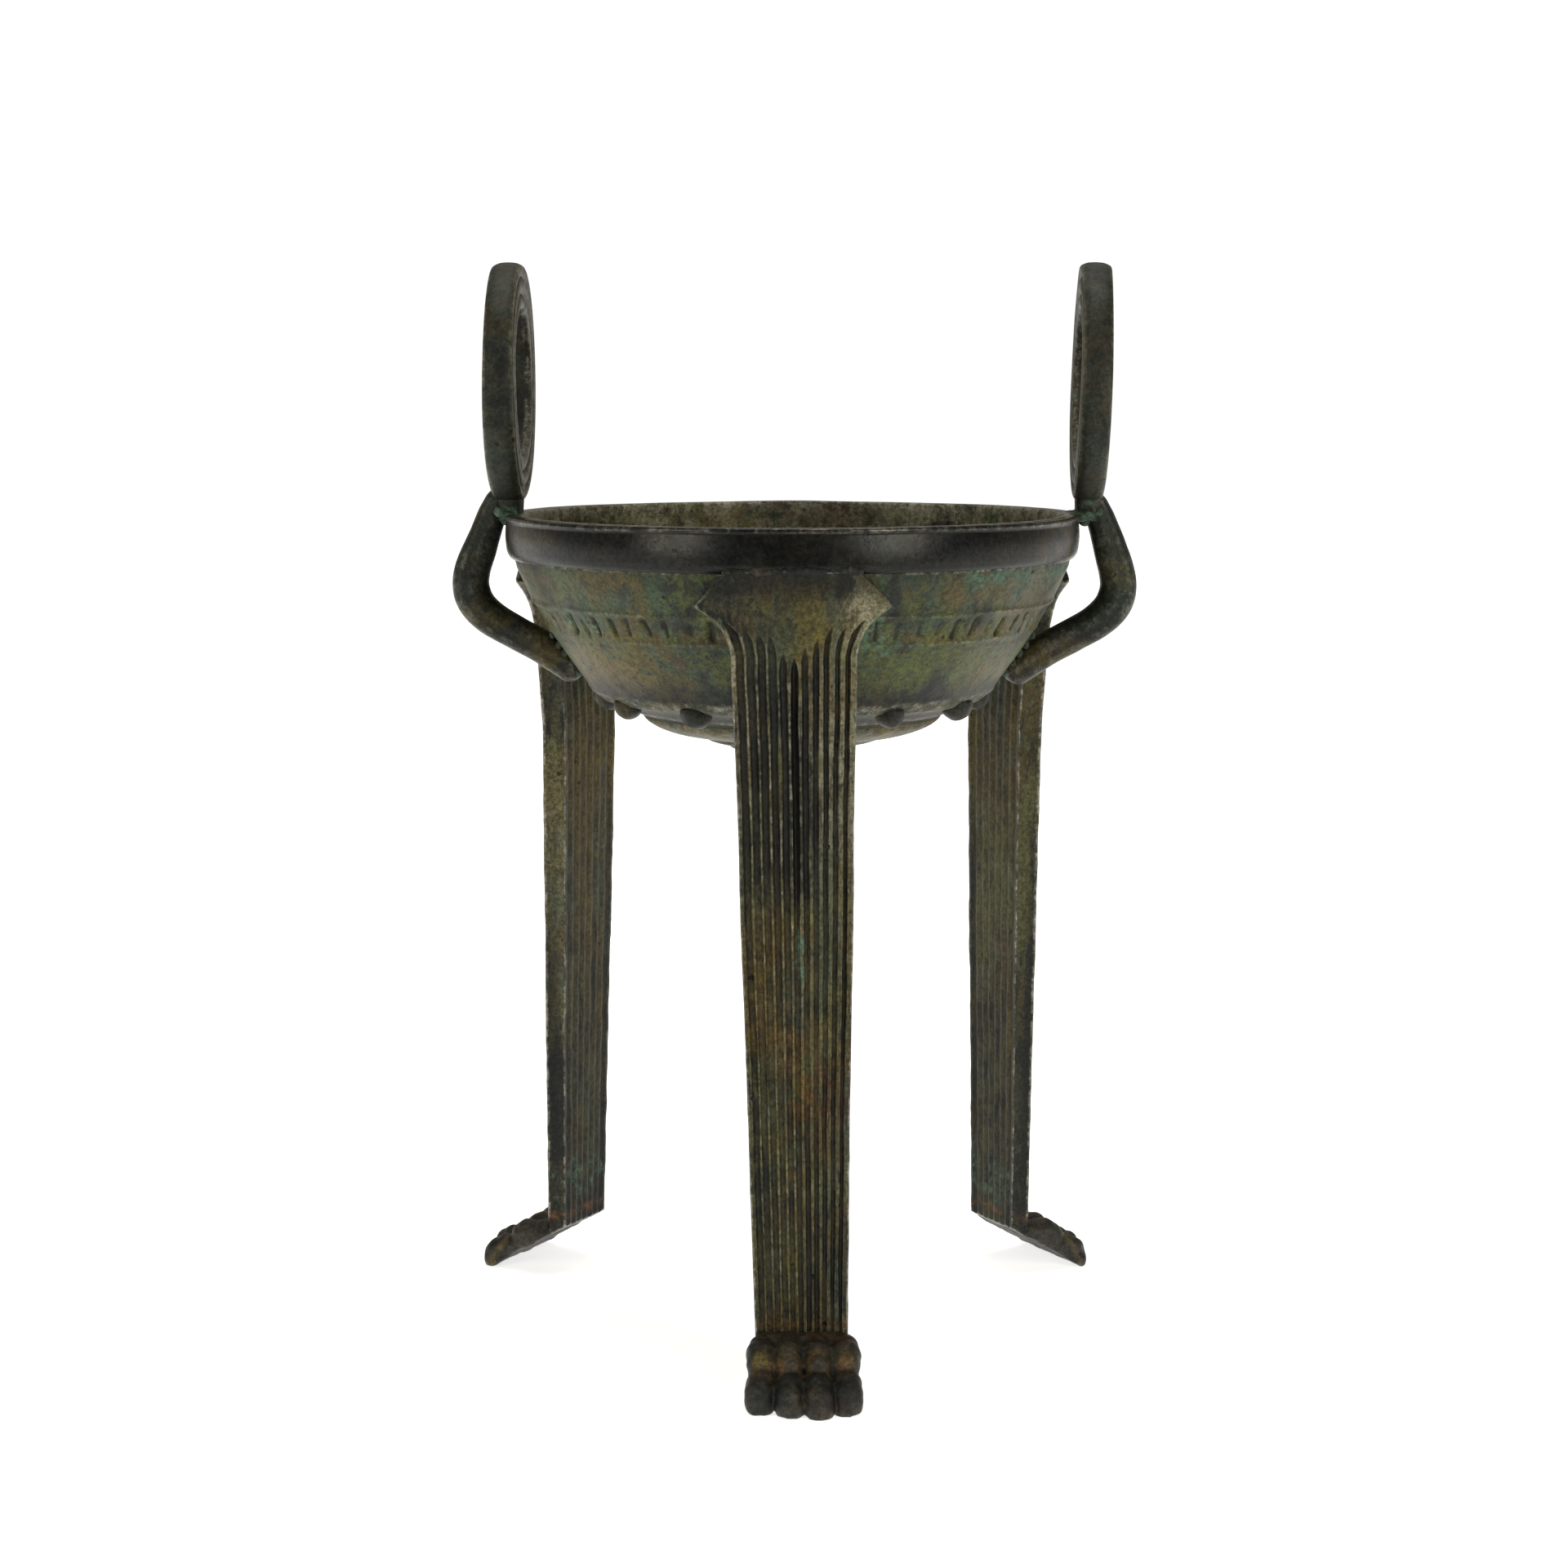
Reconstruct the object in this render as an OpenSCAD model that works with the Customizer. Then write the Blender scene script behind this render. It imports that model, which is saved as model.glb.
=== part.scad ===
// Tripod fire bowl: a round cast bowl on three fluted legs with paw feet. Two moulded
// rings stand upright on the rim, and a bent strut braces each ring from below.
// Millimetres, +Z up. The origin is on the ground under the bowl's axis. The front leg
// points to -Y, and the rings stand at -X and +X.

/* [Bowl] */
// Height of the rim above the ground
rim_height = 153.5; // [150:0.5:160]
// Outer radius of the rim band
rim_radius = 53.8; // [53.4:0.1:54.4]
// Height of the rim band
band_height = 7.9; // [7:0.1:8.5]
// Thickness of the rim band, outside the bowl's wall
band_thick = 1.6; // [1.2:0.1:2]
// Thickness of the bowl's wall
wall_thick = 2; // [1.6:0.1:2.2]
// Radius of the bowl where its wall turns under
turn_radius = 37.2; // [36.8:0.1:38]
// Depth of that turn below the rim
turn_depth = 33.4; // [33:0.1:34]
// How late the wall curves in: 1 is a straight cone
wall_curve = 1.3; // [1.1:0.05:1.5]
// Radius of the round dome under the bowl
dome_radius = 28.4; // [27:0.1:29]
// Depth of the dome's edge below the rim
dome_depth = 37.2; // [37:0.1:37.6]
// Depth of the dome's lowest ring below the rim
dome_bottom = 41.8; // [41.5:0.1:42.5]
// Radius of the small disc under the dome
disc_radius = 16.6; // [14:0.1:18]
// Thickness of that disc
disc_thick = 2.3; // [1.5:0.1:3]

/* [Belt and studs] */
// Depth of the belt's top line below the rim
belt_top = 16; // [14:0.1:16.5]
// Depth of the belt's bottom line below the rim
belt_bottom = 21.2; // [20.5:0.1:22]
// How far the belt's two lines stand out
line_height = 0.35; // [0.2:0.05:0.5]
// Number of grooves round the belt
groove_count = 72; // [48:4:80]
// Width of one groove
groove_wide = 0.9; // [0.6:0.1:1.2]
// Length of one groove, down the wall
groove_long = 3.2; // [2.5:0.1:3.4]
// Depth of one groove
groove_deep = 0.6; // [0.3:0.1:0.8]
// Number of studs round the turn of the wall
stud_count = 12; // [6:1:16]
// Radius of one domed stud
stud_radius = 2.7; // [2:0.1:3]

/* [Legs] */
// Distance from the axis to the leg's outer face, along the straight part
leg_out = 51; // [50.6:0.1:51.2]
// Distance from the axis to the outer face at the top of the leg
head_out = 53.3; // [53:0.1:53.5]
// Height where the outer face starts to lean outwards
lean_from = 112; // [105:1:118]
// Width of the outer face at the foot
leg_wide_low = 17.4; // [16.5:0.1:18]
// Width of the outer face at the top of the straight part
leg_wide_top = 22.4; // [21:0.1:23]
// Thickness of the leg at the foot
leg_thick_low = 3.4; // [3:0.1:4]
// Thickness of the leg at the top of the straight part
leg_thick_top = 5.2; // [4.6:0.1:5.6]
// How much narrower the inner face is than the outer one, at the foot
inset_low = 3; // [2:0.1:4]
// How much narrower the inner face is, at the top of the straight part
inset_top = 5.8; // [4:0.1:6.5]
// Width of the leg's head across its shoulders
head_wide = 34.4; // [32:0.2:35]
// Number of flutes across the outer face
flute_count = 11; // [7:2:13]
// Radius of the round cutter that makes a flute
flute_radius = 0.95; // [0.9:0.05:1]
// Depth of a flute
flute_deep = 0.35; // [0.25:0.05:0.4]
// Number of shallow flutes across the inner face
back_flutes = 6; // [3:1:7]

/* [Paws] */
// Height of the joint between leg and paw
paw_top = 11; // [10.6:0.1:12]
// Slope of the raised sole, in degrees
sole_slope = 31.5; // [30:0.5:33]
// Distance from the axis to the line where the sole meets the ground
sole_out = 63.3; // [63:0.1:63.6]
// Distance from the axis to the tips of the two middle toes
toe_out = 67.5; // [67:0.1:68.5]
// How far the two outer toes stand back from the middle ones
toe_back = 2.5; // [2:0.1:2.8]
// Spacing of the toes
toe_pitch = 4.9; // [4.7:0.05:5.2]
// Radius of a toe's tip
toe_radius = 2.9; // [2.7:0.05:3]
// Radius of a knuckle
knuckle_radius = 3.3; // [3:0.05:3.5]

/* [Rings] */
// Distance from the bowl's axis to the middle of a ring
ring_out = 54.2; // [53.8:0.1:54.6]
// Height of a ring's centre above the rim
ring_up = 24.4; // [24.2:0.1:24.8]
// Outer radius of a ring
ring_radius = 22.1; // [21.8:0.1:22.1]
// Radius of the hole in a ring
ring_hole = 13.6; // [12.5:0.1:14.5]
// Thickness of a ring at its inner and outer edge
ring_edge = 4.8; // [4.6:0.1:5.4]
// Thickness of a ring over its middle bead
ring_thick = 6.2; // [6:0.1:6.6]
// Number of beads on each face of a ring
bead_count = 3; // [2:1:4]
// Width of the foot under a ring, along the rim
foot_wide = 9; // [7:0.2:10]

/* [Struts] */
// Thickness of a strut's bar, in the plane of its bend
strut_thick = 6; // [5.4:0.1:6.4]
// Width of a strut's bar, along the rim
strut_wide = 6.6; // [6:0.1:7.4]
// Bevel along the bar's four edges
strut_bevel = 1.5; // [1:0.1:2]
// Radius of the bar's bend, at its middle line
strut_bend = 8.8; // [8:0.1:9.5]

/* [Braze] */
// Radius of a bead of brazing metal
braze_radius = 1.3; // [1.1:0.1:1.5]

/* [Hidden] */
$fn = 96;

patina_olive = "#4b4a2c";
patina_dark = "#26282a";
patina_brown = "#3b3527";
patina_rust = "#4a3526";
patina_green = "#2f4634";

// Legs stand every 120 degrees: the front one, then anticlockwise seen from above.
leg_step = 120;
seat_radius = rim_radius - band_thick;
// How far a cutting solid reaches past what it cuts
over = 2;
// How far two stretches of one solid reach into each other
seam = 0.1;
wall_points = 8;
arc_points = 10;

// Radius of the bowl's outer wall at a depth below the rim, between band and turn.
function wall_radius(d) =
    let(u = max(0, d - band_height) / (turn_depth - band_height))
    seat_radius - (seat_radius - turn_radius) * pow(u, wall_curve);

// Points on the wall from one depth to another.
function wall_run(d0, d1, n) =
    [for (i = [0 : n]) let(d = d0 + (d1 - d0) * i / n) [wall_radius(d), -d]];

// A raised line round the wall at a depth, as three points of its section. The wall's own
// points keep line_gap away from it.
line_half = 0.4;
line_gap = 0.6;
function raised_line(d) = [
    [wall_radius(d - line_half), -(d - line_half)],
    [wall_radius(d) + line_height, -d],
    [wall_radius(d + line_half), -(d + line_half)]
];

// A quarter of an ellipse from the point (r, z) inwards and down.
function under_curve(r, z, depth, r_end, n) =
    [for (i = [0 : n])
        let(a = 90 * i / n)
        [r_end + (r - r_end) * cos(a), z - depth * sin(a)]];

// Under the wall's turn are a rounded corner, a nearly flat ledge and a thin line round the dome.
corner_round = 0.9;
ledge_in = 3.4;
ledge_drop = 1.6;
dome_line = 0.3;
function outer_profile() = concat(
    [[0, 0], [seat_radius, 0]],
    wall_run(band_height, belt_top - line_gap, wall_points),
    raised_line(belt_top),
    raised_line(belt_bottom),
    wall_run(belt_bottom + line_gap, turn_depth, wall_points),
    [[turn_radius - corner_round, -turn_depth - corner_round]],
    [[turn_radius - ledge_in, -turn_depth - ledge_drop]],
    [[dome_radius + dome_line, -dome_depth]],
    under_curve(dome_radius, -dome_depth, dome_bottom - dome_depth, disc_radius, arc_points),
    [[0, -dome_bottom]]
);

// The hollow follows the wall inside and ends in a shallow round bottom.
hollow_depth = 31.5;
hollow_bottom = 7.4;
hollow_lean = 0.4;
function inner_radius(d) = wall_radius(d) - wall_thick - hollow_lean * d / hollow_depth;
function inner_profile() = concat(
    [[0, over], [inner_radius(0), over], [inner_radius(0), 0]],
    [for (i = [0 : wall_points])
        let(d = band_height + (hollow_depth - band_height) * i / wall_points)
        [inner_radius(d), -d]],
    [for (i = [1 : arc_points])
        let(a = 90 * i / arc_points)
        [inner_radius(hollow_depth) * cos(a), -hollow_depth - hollow_bottom * sin(a)]]
);

module bowl_mass() {
    translate([0, 0, rim_height])
        rotate_extrude()
            polygon(outer_profile());
}

// One groove of the belt, cut square to the wall, which leans in by belt_lean.
belt_middle = (belt_top + belt_bottom) / 2 - line_height;
belt_lean = atan((wall_radius(belt_top) - wall_radius(belt_bottom)) / (belt_bottom - belt_top));
module belt_groove() {
    translate([wall_radius(belt_middle), 0, rim_height - belt_middle])
        rotate([0, belt_lean, 0])
            translate([-groove_deep, -groove_wide / 2, -groove_long / 2])
                cube([groove_deep + over, groove_wide, groove_long]);
}

module bowl() {
    color(patina_olive)
        difference() {
            bowl_mass();
            translate([0, 0, rim_height])
                rotate_extrude()
                    polygon(inner_profile());
            for (i = [0 : groove_count - 1])
                rotate([0, 0, (i + 0.5) * 360 / groove_count])
                    belt_groove();
        }
}

// The band sits outside the wall. Its lower edge is bevelled, and a thin lip stands out
// below its rounded upper edge.
bevel_foot = 0.5;
bevel_high = 1.2;
bevel_in = 0.4;
lip_high = 0.6;
lip_out = 0.1;
module band_mass(inner) {
    translate([0, 0, rim_height])
        rotate_extrude()
            polygon([
                [inner, -band_height],
                [seat_radius + bevel_foot, -band_height],
                [rim_radius - bevel_in, -band_height + bevel_high],
                [rim_radius, -2 * lip_high],
                [rim_radius + lip_out, -lip_high],
                [rim_radius - bevel_in, 0],
                [inner, 0]
            ]);
}

module rim_band() {
    color(patina_dark)
        band_mass(seat_radius);
}

// The disc has a rounded edge, a shallow slope and a small flat step in the middle.
disc_edge_in = 1.2;
disc_edge_drop = 0.9;
disc_slope_in = 4.6;
disc_step = 0.6;
disc_step_in = 4.8;
module base_disc() {
    color(patina_brown)
        translate([0, 0, rim_height - dome_bottom])
            rotate_extrude()
                polygon([
                    [0, 0],
                    [disc_radius, 0],
                    [disc_radius - disc_edge_in, -disc_edge_drop],
                    [disc_radius - disc_slope_in, -disc_thick + disc_step],
                    [disc_radius - disc_step_in, -disc_thick],
                    [0, -disc_thick]
                ]);
}

// Studs sit on the underside of the turn. Their centres are a little inside its edge.
stud_in = 3;
stud_drop = 1.5;
module boss_studs() {
    color(patina_dark)
        difference() {
            for (i = [0 : stud_count - 1])
                rotate([0, 0, i * 360 / stud_count])
                    translate([turn_radius - stud_in, 0, rim_height - turn_depth - stud_drop])
                        sphere(r = stud_radius);
            bowl_mass();
        }
}

// Section of the leg at a height: wide outside, narrower inside.
slice = 0.01;
module leg_section(z, out, wide, thick, inset) {
    translate([0, 0, z])
        linear_extrude(slice)
            polygon([
                [-wide / 2, -out],
                [wide / 2, -out],
                [(wide - inset) / 2, -out + thick],
                [-(wide - inset) / 2, -out + thick]
            ]);
}

head_top = rim_height - band_height;
shoulder_drop = 5.6;
neck_drop = 5.4;
shoulder_z = head_top - shoulder_drop;
neck_z = shoulder_z - neck_drop;
lean_angle = atan((head_out - leg_out) / (head_top - lean_from));
neck_out = leg_out + (neck_z - lean_from) * tan(lean_angle);

// Where the leg starts to lean out it is still this much narrower and thinner than at its neck.
knee_narrow = 1.2;
knee_thin = 0.4;
module knee_section() {
    leg_section(
        lean_from, leg_out, leg_wide_top - knee_narrow, leg_thick_top - knee_thin,
        inset_top - knee_narrow / 2
    );
}

module leg_blade() {
    hull() {
        leg_section(paw_top, leg_out, leg_wide_low, leg_thick_low, inset_low);
        knee_section();
    }
    hull() {
        knee_section();
        leg_section(neck_z, neck_out, leg_wide_top, leg_thick_top, inset_top);
    }
}

// The head is a six-sided plate. Its outer face goes on leaning with the leg, and its
// back is filled down to the bowl's wall.
head_deep = 14;
neck_swell = 0.6;
tip_half = 0.4;
module leg_head() {
    neck = neck_z - lean_from;
    tip = shoulder_z - lean_from;
    top = head_top - lean_from + over;
    half = leg_wide_top / 2;
    translate([0, -leg_out, lean_from])
        rotate([90 + lean_angle, 0, 0])
            translate([0, 0, -head_deep])
                linear_extrude(head_deep)
                    polygon([
                        [-half, neck - over / 2],
                        [half, neck - over / 2],
                        [half + neck_swell, neck],
                        [head_wide / 2, tip - tip_half],
                        [head_wide / 2, tip + tip_half],
                        [half, top],
                        [-half, top],
                        [-head_wide / 2, tip + tip_half],
                        [-head_wide / 2, tip - tip_half],
                        [-half - neck_swell, neck]
                    ]);
}

// A straight rod from one point to another, and one with round ends.
function length3(v) = sqrt(v[0] * v[0] + v[1] * v[1] + v[2] * v[2]);
module rod(p, q, r) {
    v = q - p;
    long = length3(v);
    translate(p)
        rotate([0, acos(v[2] / long), atan2(v[1], v[0])])
            cylinder(r = r, h = long);
}

module round_rod(p, q, r) {
    rod(p, q, r);
    translate(p)
        sphere(r = r);
    translate(q)
        sphere(r = r);
}

// Flutes run up the outer face and fan out over the head, and the outer ones reach
// highest. side runs from -1 at the left flute to 1 at the right one. The cutter is a
// twelve-sided rod.
flute_set = flute_radius - flute_deep;
flute_sides = 12;
edge_low = 0.75;
edge_top = 1.4;
fan_wide = 1.2;
fan_start = 4;
fan_rise = 6;
module flute(side) {
    x_low = side * (leg_wide_low / 2 - edge_low);
    x_mid = side * (leg_wide_top / 2 - edge_top);
    x_top = side * (leg_wide_top / 2 + fan_wide * abs(side));
    z_top = neck_z - fan_start + fan_rise * abs(side);
    y_low = -leg_out - flute_set;
    y_top = y_low - (z_top - lean_from) * tan(lean_angle);
    knee = [x_mid, y_low, lean_from];
    rod([x_low, y_low, paw_top - over], knee + [0, 0, seam], flute_radius, $fn = flute_sides);
    rod(knee, [x_top, y_top, z_top], flute_radius, $fn = flute_sides);
}

// The inner face has fewer and shallower flutes, inside a plain border.
back_border = 2;
module back_flute(side) {
    set = flute_radius - flute_deep / 2;
    x_low = side * ((leg_wide_low - inset_low) / 2 - back_border);
    x_top = side * ((leg_wide_top - inset_top) / 2 - back_border);
    y_low = -leg_out + leg_thick_low + set;
    y_top = -leg_out + leg_thick_top - knee_thin + set;
    rod([x_low, y_low, paw_top - over], [x_top, y_top, lean_from], flute_radius, $fn = flute_sides);
}

// What is above the head's top, under the rim band.
clear_wide = 60;
clear_long = 140;
clear_high = 20;
module above_head() {
    translate([-clear_wide / 2, -clear_long / 2, head_top])
        cube([clear_wide, clear_long, clear_high]);
}

module leg(turn) {
    color(patina_olive)
        rotate([0, 0, turn])
            difference() {
                union() {
                    leg_blade();
                    leg_head();
                }
                above_head();
                bowl_mass();
                for (i = [0 : flute_count - 1])
                    flute(2 * i / (flute_count - 1) - 1);
                for (i = [0 : back_flutes - 1])
                    back_flute(2 * i / (back_flutes - 1) - 1);
            }
}

module front_leg() leg(0);
module back_right_leg() leg(leg_step);
module back_left_leg() leg(2 * leg_step);

// A toe is a knuckle, a toe bone and a rounded tip, a step apart. The tip is sunk a little
// below the ground and cut flat there.
toe_sunk = 0.7;
toe_step = 4.4;
bone_rise = 3;
knuckle_rise = 0.6;
knuckle_long = 3;
module toe(x, tip) {
    tip_at = [x, -(tip - toe_radius), toe_radius - toe_sunk];
    bone_at = tip_at + [0, toe_step, bone_rise];
    knuckle_at = [x, tip_at[1] + 2 * toe_step, paw_top - knuckle_radius + knuckle_rise];
    round_rod(tip_at, bone_at, toe_radius);
    round_rod(knuckle_at, knuckle_at + [0, knuckle_long, 0], knuckle_radius);
}

// The paw's body is a wedge under the leg, which slopes down to the toes.
heel_out = leg_out - leg_thick_low;
paw_body_out = toe_out - 5;
front_high = 3;
instep_out = leg_out + 5;
instep_z = paw_top - 2;
module paw_body() {
    intersection() {
        rotate([90, 0, 90])
            linear_extrude(2 * leg_wide_low, center = true)
                polygon([
                    [-heel_out, paw_top],
                    [-heel_out, 0],
                    [-paw_body_out, 0],
                    [-paw_body_out, front_high],
                    [-instep_out, instep_z],
                    [-leg_out, paw_top]
                ]);
        linear_extrude(paw_top)
            polygon([
                [-(leg_wide_low - inset_low) / 2, -heel_out],
                [-leg_wide_low / 2, -leg_out],
                [-leg_wide_low / 2, -paw_body_out],
                [leg_wide_low / 2, -paw_body_out],
                [leg_wide_low / 2, -leg_out],
                [(leg_wide_low - inset_low) / 2, -heel_out]
            ]);
    }
}

// A block wider than the paw, with its top at z = 0 and its near edge at y = 0.
block_wide = 40;
block_high = 30;
module paw_block() {
    translate([-block_wide / 2, 0, -block_high])
        cube([block_wide, block_wide, block_high]);
}

// Everything below the sole's slope is cut away, so only the toes touch the ground.
module below_sole() {
    translate([0, -sole_out, 0])
        rotate([sole_slope, 0, 0])
            paw_block();
    translate([0, -sole_out - block_wide / 2, 0])
        paw_block();
}

// The leg stands on the paw, so its own space is cut out of the knuckles.
module leg_space() {
    translate([0, -leg_out, paw_top + block_high])
        paw_block();
}

module paw(turn) {
    color(patina_rust)
        rotate([0, 0, turn])
            difference() {
                union() {
                    paw_body();
                    for (x = [-1.5, 1.5])
                        toe(x * toe_pitch, toe_out - toe_back);
                    for (x = [-0.5, 0.5])
                        toe(x * toe_pitch, toe_out);
                }
                below_sole();
                leg_space();
            }
}

module front_paw() paw(0);
module back_right_paw() paw(leg_step);
module back_left_paw() paw(2 * leg_step);

// Half the thickness of a ring at a share of its width: a low crown with beads on it.
ring_points = 24;
ring_wide = ring_radius - ring_hole;
bead_height = 0.35;
function ring_half(u) =
    ring_edge / 2
    + ((ring_thick - ring_edge) / 2 - bead_height) * sin(180 * u)
    + bead_height * abs(sin(180 * bead_count * u));
function ring_side(s) =
    [for (i = [0 : ring_points])
        let(u = i / ring_points)
        [ring_hole + ring_wide * u, s * ring_half(u)]];
function reversed(list) = [for (i = [len(list) - 1 : -1 : 0]) list[i]];

ring_z = rim_height + ring_up;
module ring_turned() {
    translate([ring_out, 0, ring_z])
        rotate([0, 90, 0])
            rotate_extrude()
                polygon(concat(ring_side(-1), reversed(ring_side(1))));
}

// A short foot joins the ring to the rim, and ends well below the ring's hole.
foot_thick = 4.8;
foot_high = 6;
module ring_foot(low) {
    translate([ring_out - foot_thick / 2, -foot_wide / 2, rim_height - low])
        cube([foot_thick, foot_wide, foot_high + low]);
}

module ring(side) {
    color(patina_olive)
        mirror([side < 0 ? 1 : 0, 0, 0])
            union() {
                ring_turned();
                ring_foot(0);
            }
}

module left_ring() ring(-1);
module right_ring() ring(1);

// The strut's middle line, in the plane y = 0: down and out from its top end, round
// the bend, then down and in to the tip on the bowl's wall.
strut_top = [57, rim_height + 2.4];
strut_corner = [62.6, rim_height - 16.8];
strut_tip = [42, rim_height - 29.6];
function unit(v) = v / sqrt(v[0] * v[0] + v[1] * v[1]);
up_way = unit(strut_top - strut_corner);
down_way = unit(strut_tip - strut_corner);
up_angle = atan2(up_way[1], up_way[0]);
down_angle = atan2(down_way[1], down_way[0]);
corner_angle = 360 + down_angle - up_angle;
bend_back = strut_bend / tan(corner_angle / 2);
bend_from = strut_corner + up_way * bend_back;
bend_to = strut_corner + down_way * bend_back;
bend_centre = bend_from + strut_bend * [cos(up_angle + 90), sin(up_angle + 90)];

module bar_section() {
    w = strut_wide / 2;
    t = strut_thick / 2;
    b = strut_bevel;
    polygon([
        [-t, -w + b], [-t + b, -w], [t - b, -w], [t, -w + b],
        [t, w - b], [t - b, w], [-t + b, w], [-t, w - b]
    ]);
}

// A straight length of the bar from one point of the plane y = 0 to another.
module bar(p, q) {
    v = q - p;
    translate([p[0], 0, p[1]])
        rotate([0, atan2(v[0], v[1]), 0])
            linear_extrude(sqrt(v[0] * v[0] + v[1] * v[1]))
                bar_section();
}

module bend() {
    translate([bend_centre[0], 0, bend_centre[1]])
        rotate([90, 0, 0])
            rotate([0, 0, down_angle + 90])
                rotate_extrude(angle = 180 - corner_angle)
                    translate([strut_bend, 0])
                        bar_section();
}

// The space that a ring and its foot take up, as a plain disc and a block.
module ring_space() {
    translate([ring_out - ring_thick / 2, 0, ring_z])
        rotate([0, 90, 0])
            cylinder(r = ring_radius, h = ring_thick);
    ring_foot(over);
}

module strut(side) {
    color(patina_dark)
        mirror([side < 0 ? 1 : 0, 0, 0])
            difference() {
                union() {
                    bar(bend_from - up_way * seam, strut_top);
                    bend();
                    bar(bend_to - down_way * seam, strut_tip);
                }
                ring_space();
                bowl_mass();
                band_mass(seat_radius - seam);
            }
}

module left_strut() strut(-1);
module right_strut() strut(1);

// A fillet of brazing metal under the rim band's bevel, along the top of a leg's head.
fillet_proud = 0.4;
fillet_round = 0.3;
module leg_braze(turn) {
    half = asin((leg_wide_top / 2 + bevel_foot) / rim_radius);
    face = rim_radius + fillet_proud;
    color(patina_green)
        rotate([0, 0, turn - 90 - half])
            translate([0, 0, head_top])
                rotate_extrude(angle = 2 * half)
                    polygon([
                        [seat_radius + bevel_foot, 0],
                        [rim_radius - bevel_in, bevel_high],
                        [face - fillet_round, bevel_high - seam],
                        [face, bevel_high - seam - fillet_round],
                        [face, fillet_round],
                        [face - fillet_round, 0]
                    ]);
}

module front_leg_braze() leg_braze(0);
module back_right_leg_braze() leg_braze(leg_step);
module back_left_leg_braze() leg_braze(2 * leg_step);

// Two beads of brazing metal, one at each side of a ring's foot. They are larger than a
// strut's, and lean towards the bowl.
ring_bead_extra = 0.9;
ring_bead_in = 0.8;
module ring_braze(side) {
    color(patina_green)
        mirror([side < 0 ? 1 : 0, 0, 0])
            difference() {
                for (y = [-1, 1])
                    translate([ring_out - ring_bead_in, y * foot_wide / 2, rim_height])
                        sphere(r = braze_radius + ring_bead_extra);
                ring_space();
                bowl_mass();
                band_mass(seat_radius - seam);
                bar(bend_from, strut_top);
            }
}

module left_ring_braze() ring_braze(-1);
module right_ring_braze() ring_braze(1);

// Two beads of brazing metal, one at each side of a strut's lower tip.
strut_bead_extra = 0.4;
strut_bead_up = 1;
module strut_braze(side) {
    bead_depth = rim_height - strut_tip[1] - strut_bead_up;
    color(patina_green)
        mirror([side < 0 ? 1 : 0, 0, 0])
            difference() {
                for (y = [-1, 1])
                    translate([wall_radius(bead_depth), y * strut_wide / 2, rim_height - bead_depth])
                        sphere(r = braze_radius + strut_bead_extra);
                bar(bend_to, strut_tip);
                bowl_mass();
            }
}

module left_strut_braze() strut_braze(-1);
module right_strut_braze() strut_braze(1);

bowl();
rim_band();
base_disc();
boss_studs();
front_leg();
back_right_leg();
back_left_leg();
front_paw();
back_right_paw();
back_left_paw();
left_ring();
right_ring();
left_strut();
right_strut();
front_leg_braze();
back_right_leg_braze();
back_left_leg_braze();
left_ring_braze();
right_ring_braze();
left_strut_braze();
right_strut_braze();
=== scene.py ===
"""Tripod fire bowl of cast bronze with an old patina, in metres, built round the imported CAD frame."""

import math

import bmesh
import bpy
import mathutils
import numpy as np
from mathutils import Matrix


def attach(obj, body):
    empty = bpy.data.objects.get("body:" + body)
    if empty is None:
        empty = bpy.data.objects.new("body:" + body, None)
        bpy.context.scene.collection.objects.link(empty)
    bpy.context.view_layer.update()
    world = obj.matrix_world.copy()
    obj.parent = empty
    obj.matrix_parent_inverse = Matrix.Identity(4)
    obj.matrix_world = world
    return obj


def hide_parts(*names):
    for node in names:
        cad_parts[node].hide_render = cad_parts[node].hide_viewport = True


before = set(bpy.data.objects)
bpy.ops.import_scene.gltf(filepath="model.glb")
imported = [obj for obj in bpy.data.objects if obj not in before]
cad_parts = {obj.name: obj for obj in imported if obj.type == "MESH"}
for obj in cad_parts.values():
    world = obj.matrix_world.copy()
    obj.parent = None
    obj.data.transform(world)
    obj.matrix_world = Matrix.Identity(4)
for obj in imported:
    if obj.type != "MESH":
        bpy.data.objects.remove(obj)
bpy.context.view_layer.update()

MM = 0.001
SEED = 41

# ---- the object's own sizes, in mm

RIM_Z = 153.5
RIM_RADIUS = 53.8
SEAT_RADIUS = 52.2
BAND_HEIGHT = 7.9
TURN_RADIUS, TURN_DEPTH = 37.2, 33.4
# Under the turn, how far in from it the ledge is that far down.
LEDGE_IN, LEDGE_DOWN = (0.5, 1.3, 3.4, 5.5), (0.35, 1.0, 1.6, 2.4)
WALL_CURVE = 1.3
WALL_THICK = 2.0
BELT_TOP, BELT_BOTTOM = 16.0, 21.2
GROOVES = 72
STUDS = 12
DOME_RADIUS, DOME_DEPTH, DOME_BOTTOM = 28.4, 37.2, 41.8
DISC_RADIUS, DISC_THICK = 16.6, 2.3
HOLLOW_DEPTH, HOLLOW_BOTTOM = 31.5, 7.4
LEG_OUT, HEAD_OUT, LEAN_FROM = 51.0, 53.3, 112.0
HEAD_TOP = RIM_Z - BAND_HEIGHT
SOLE_OUT, SOLE_SLOPE = 63.3, math.tan(math.radians(31.5))
FLUTES = 11
RING_RADIUS, RING_HOLE, RING_EDGE = 22.1, 13.6, 4.7
RING_UP = 24.4
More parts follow.
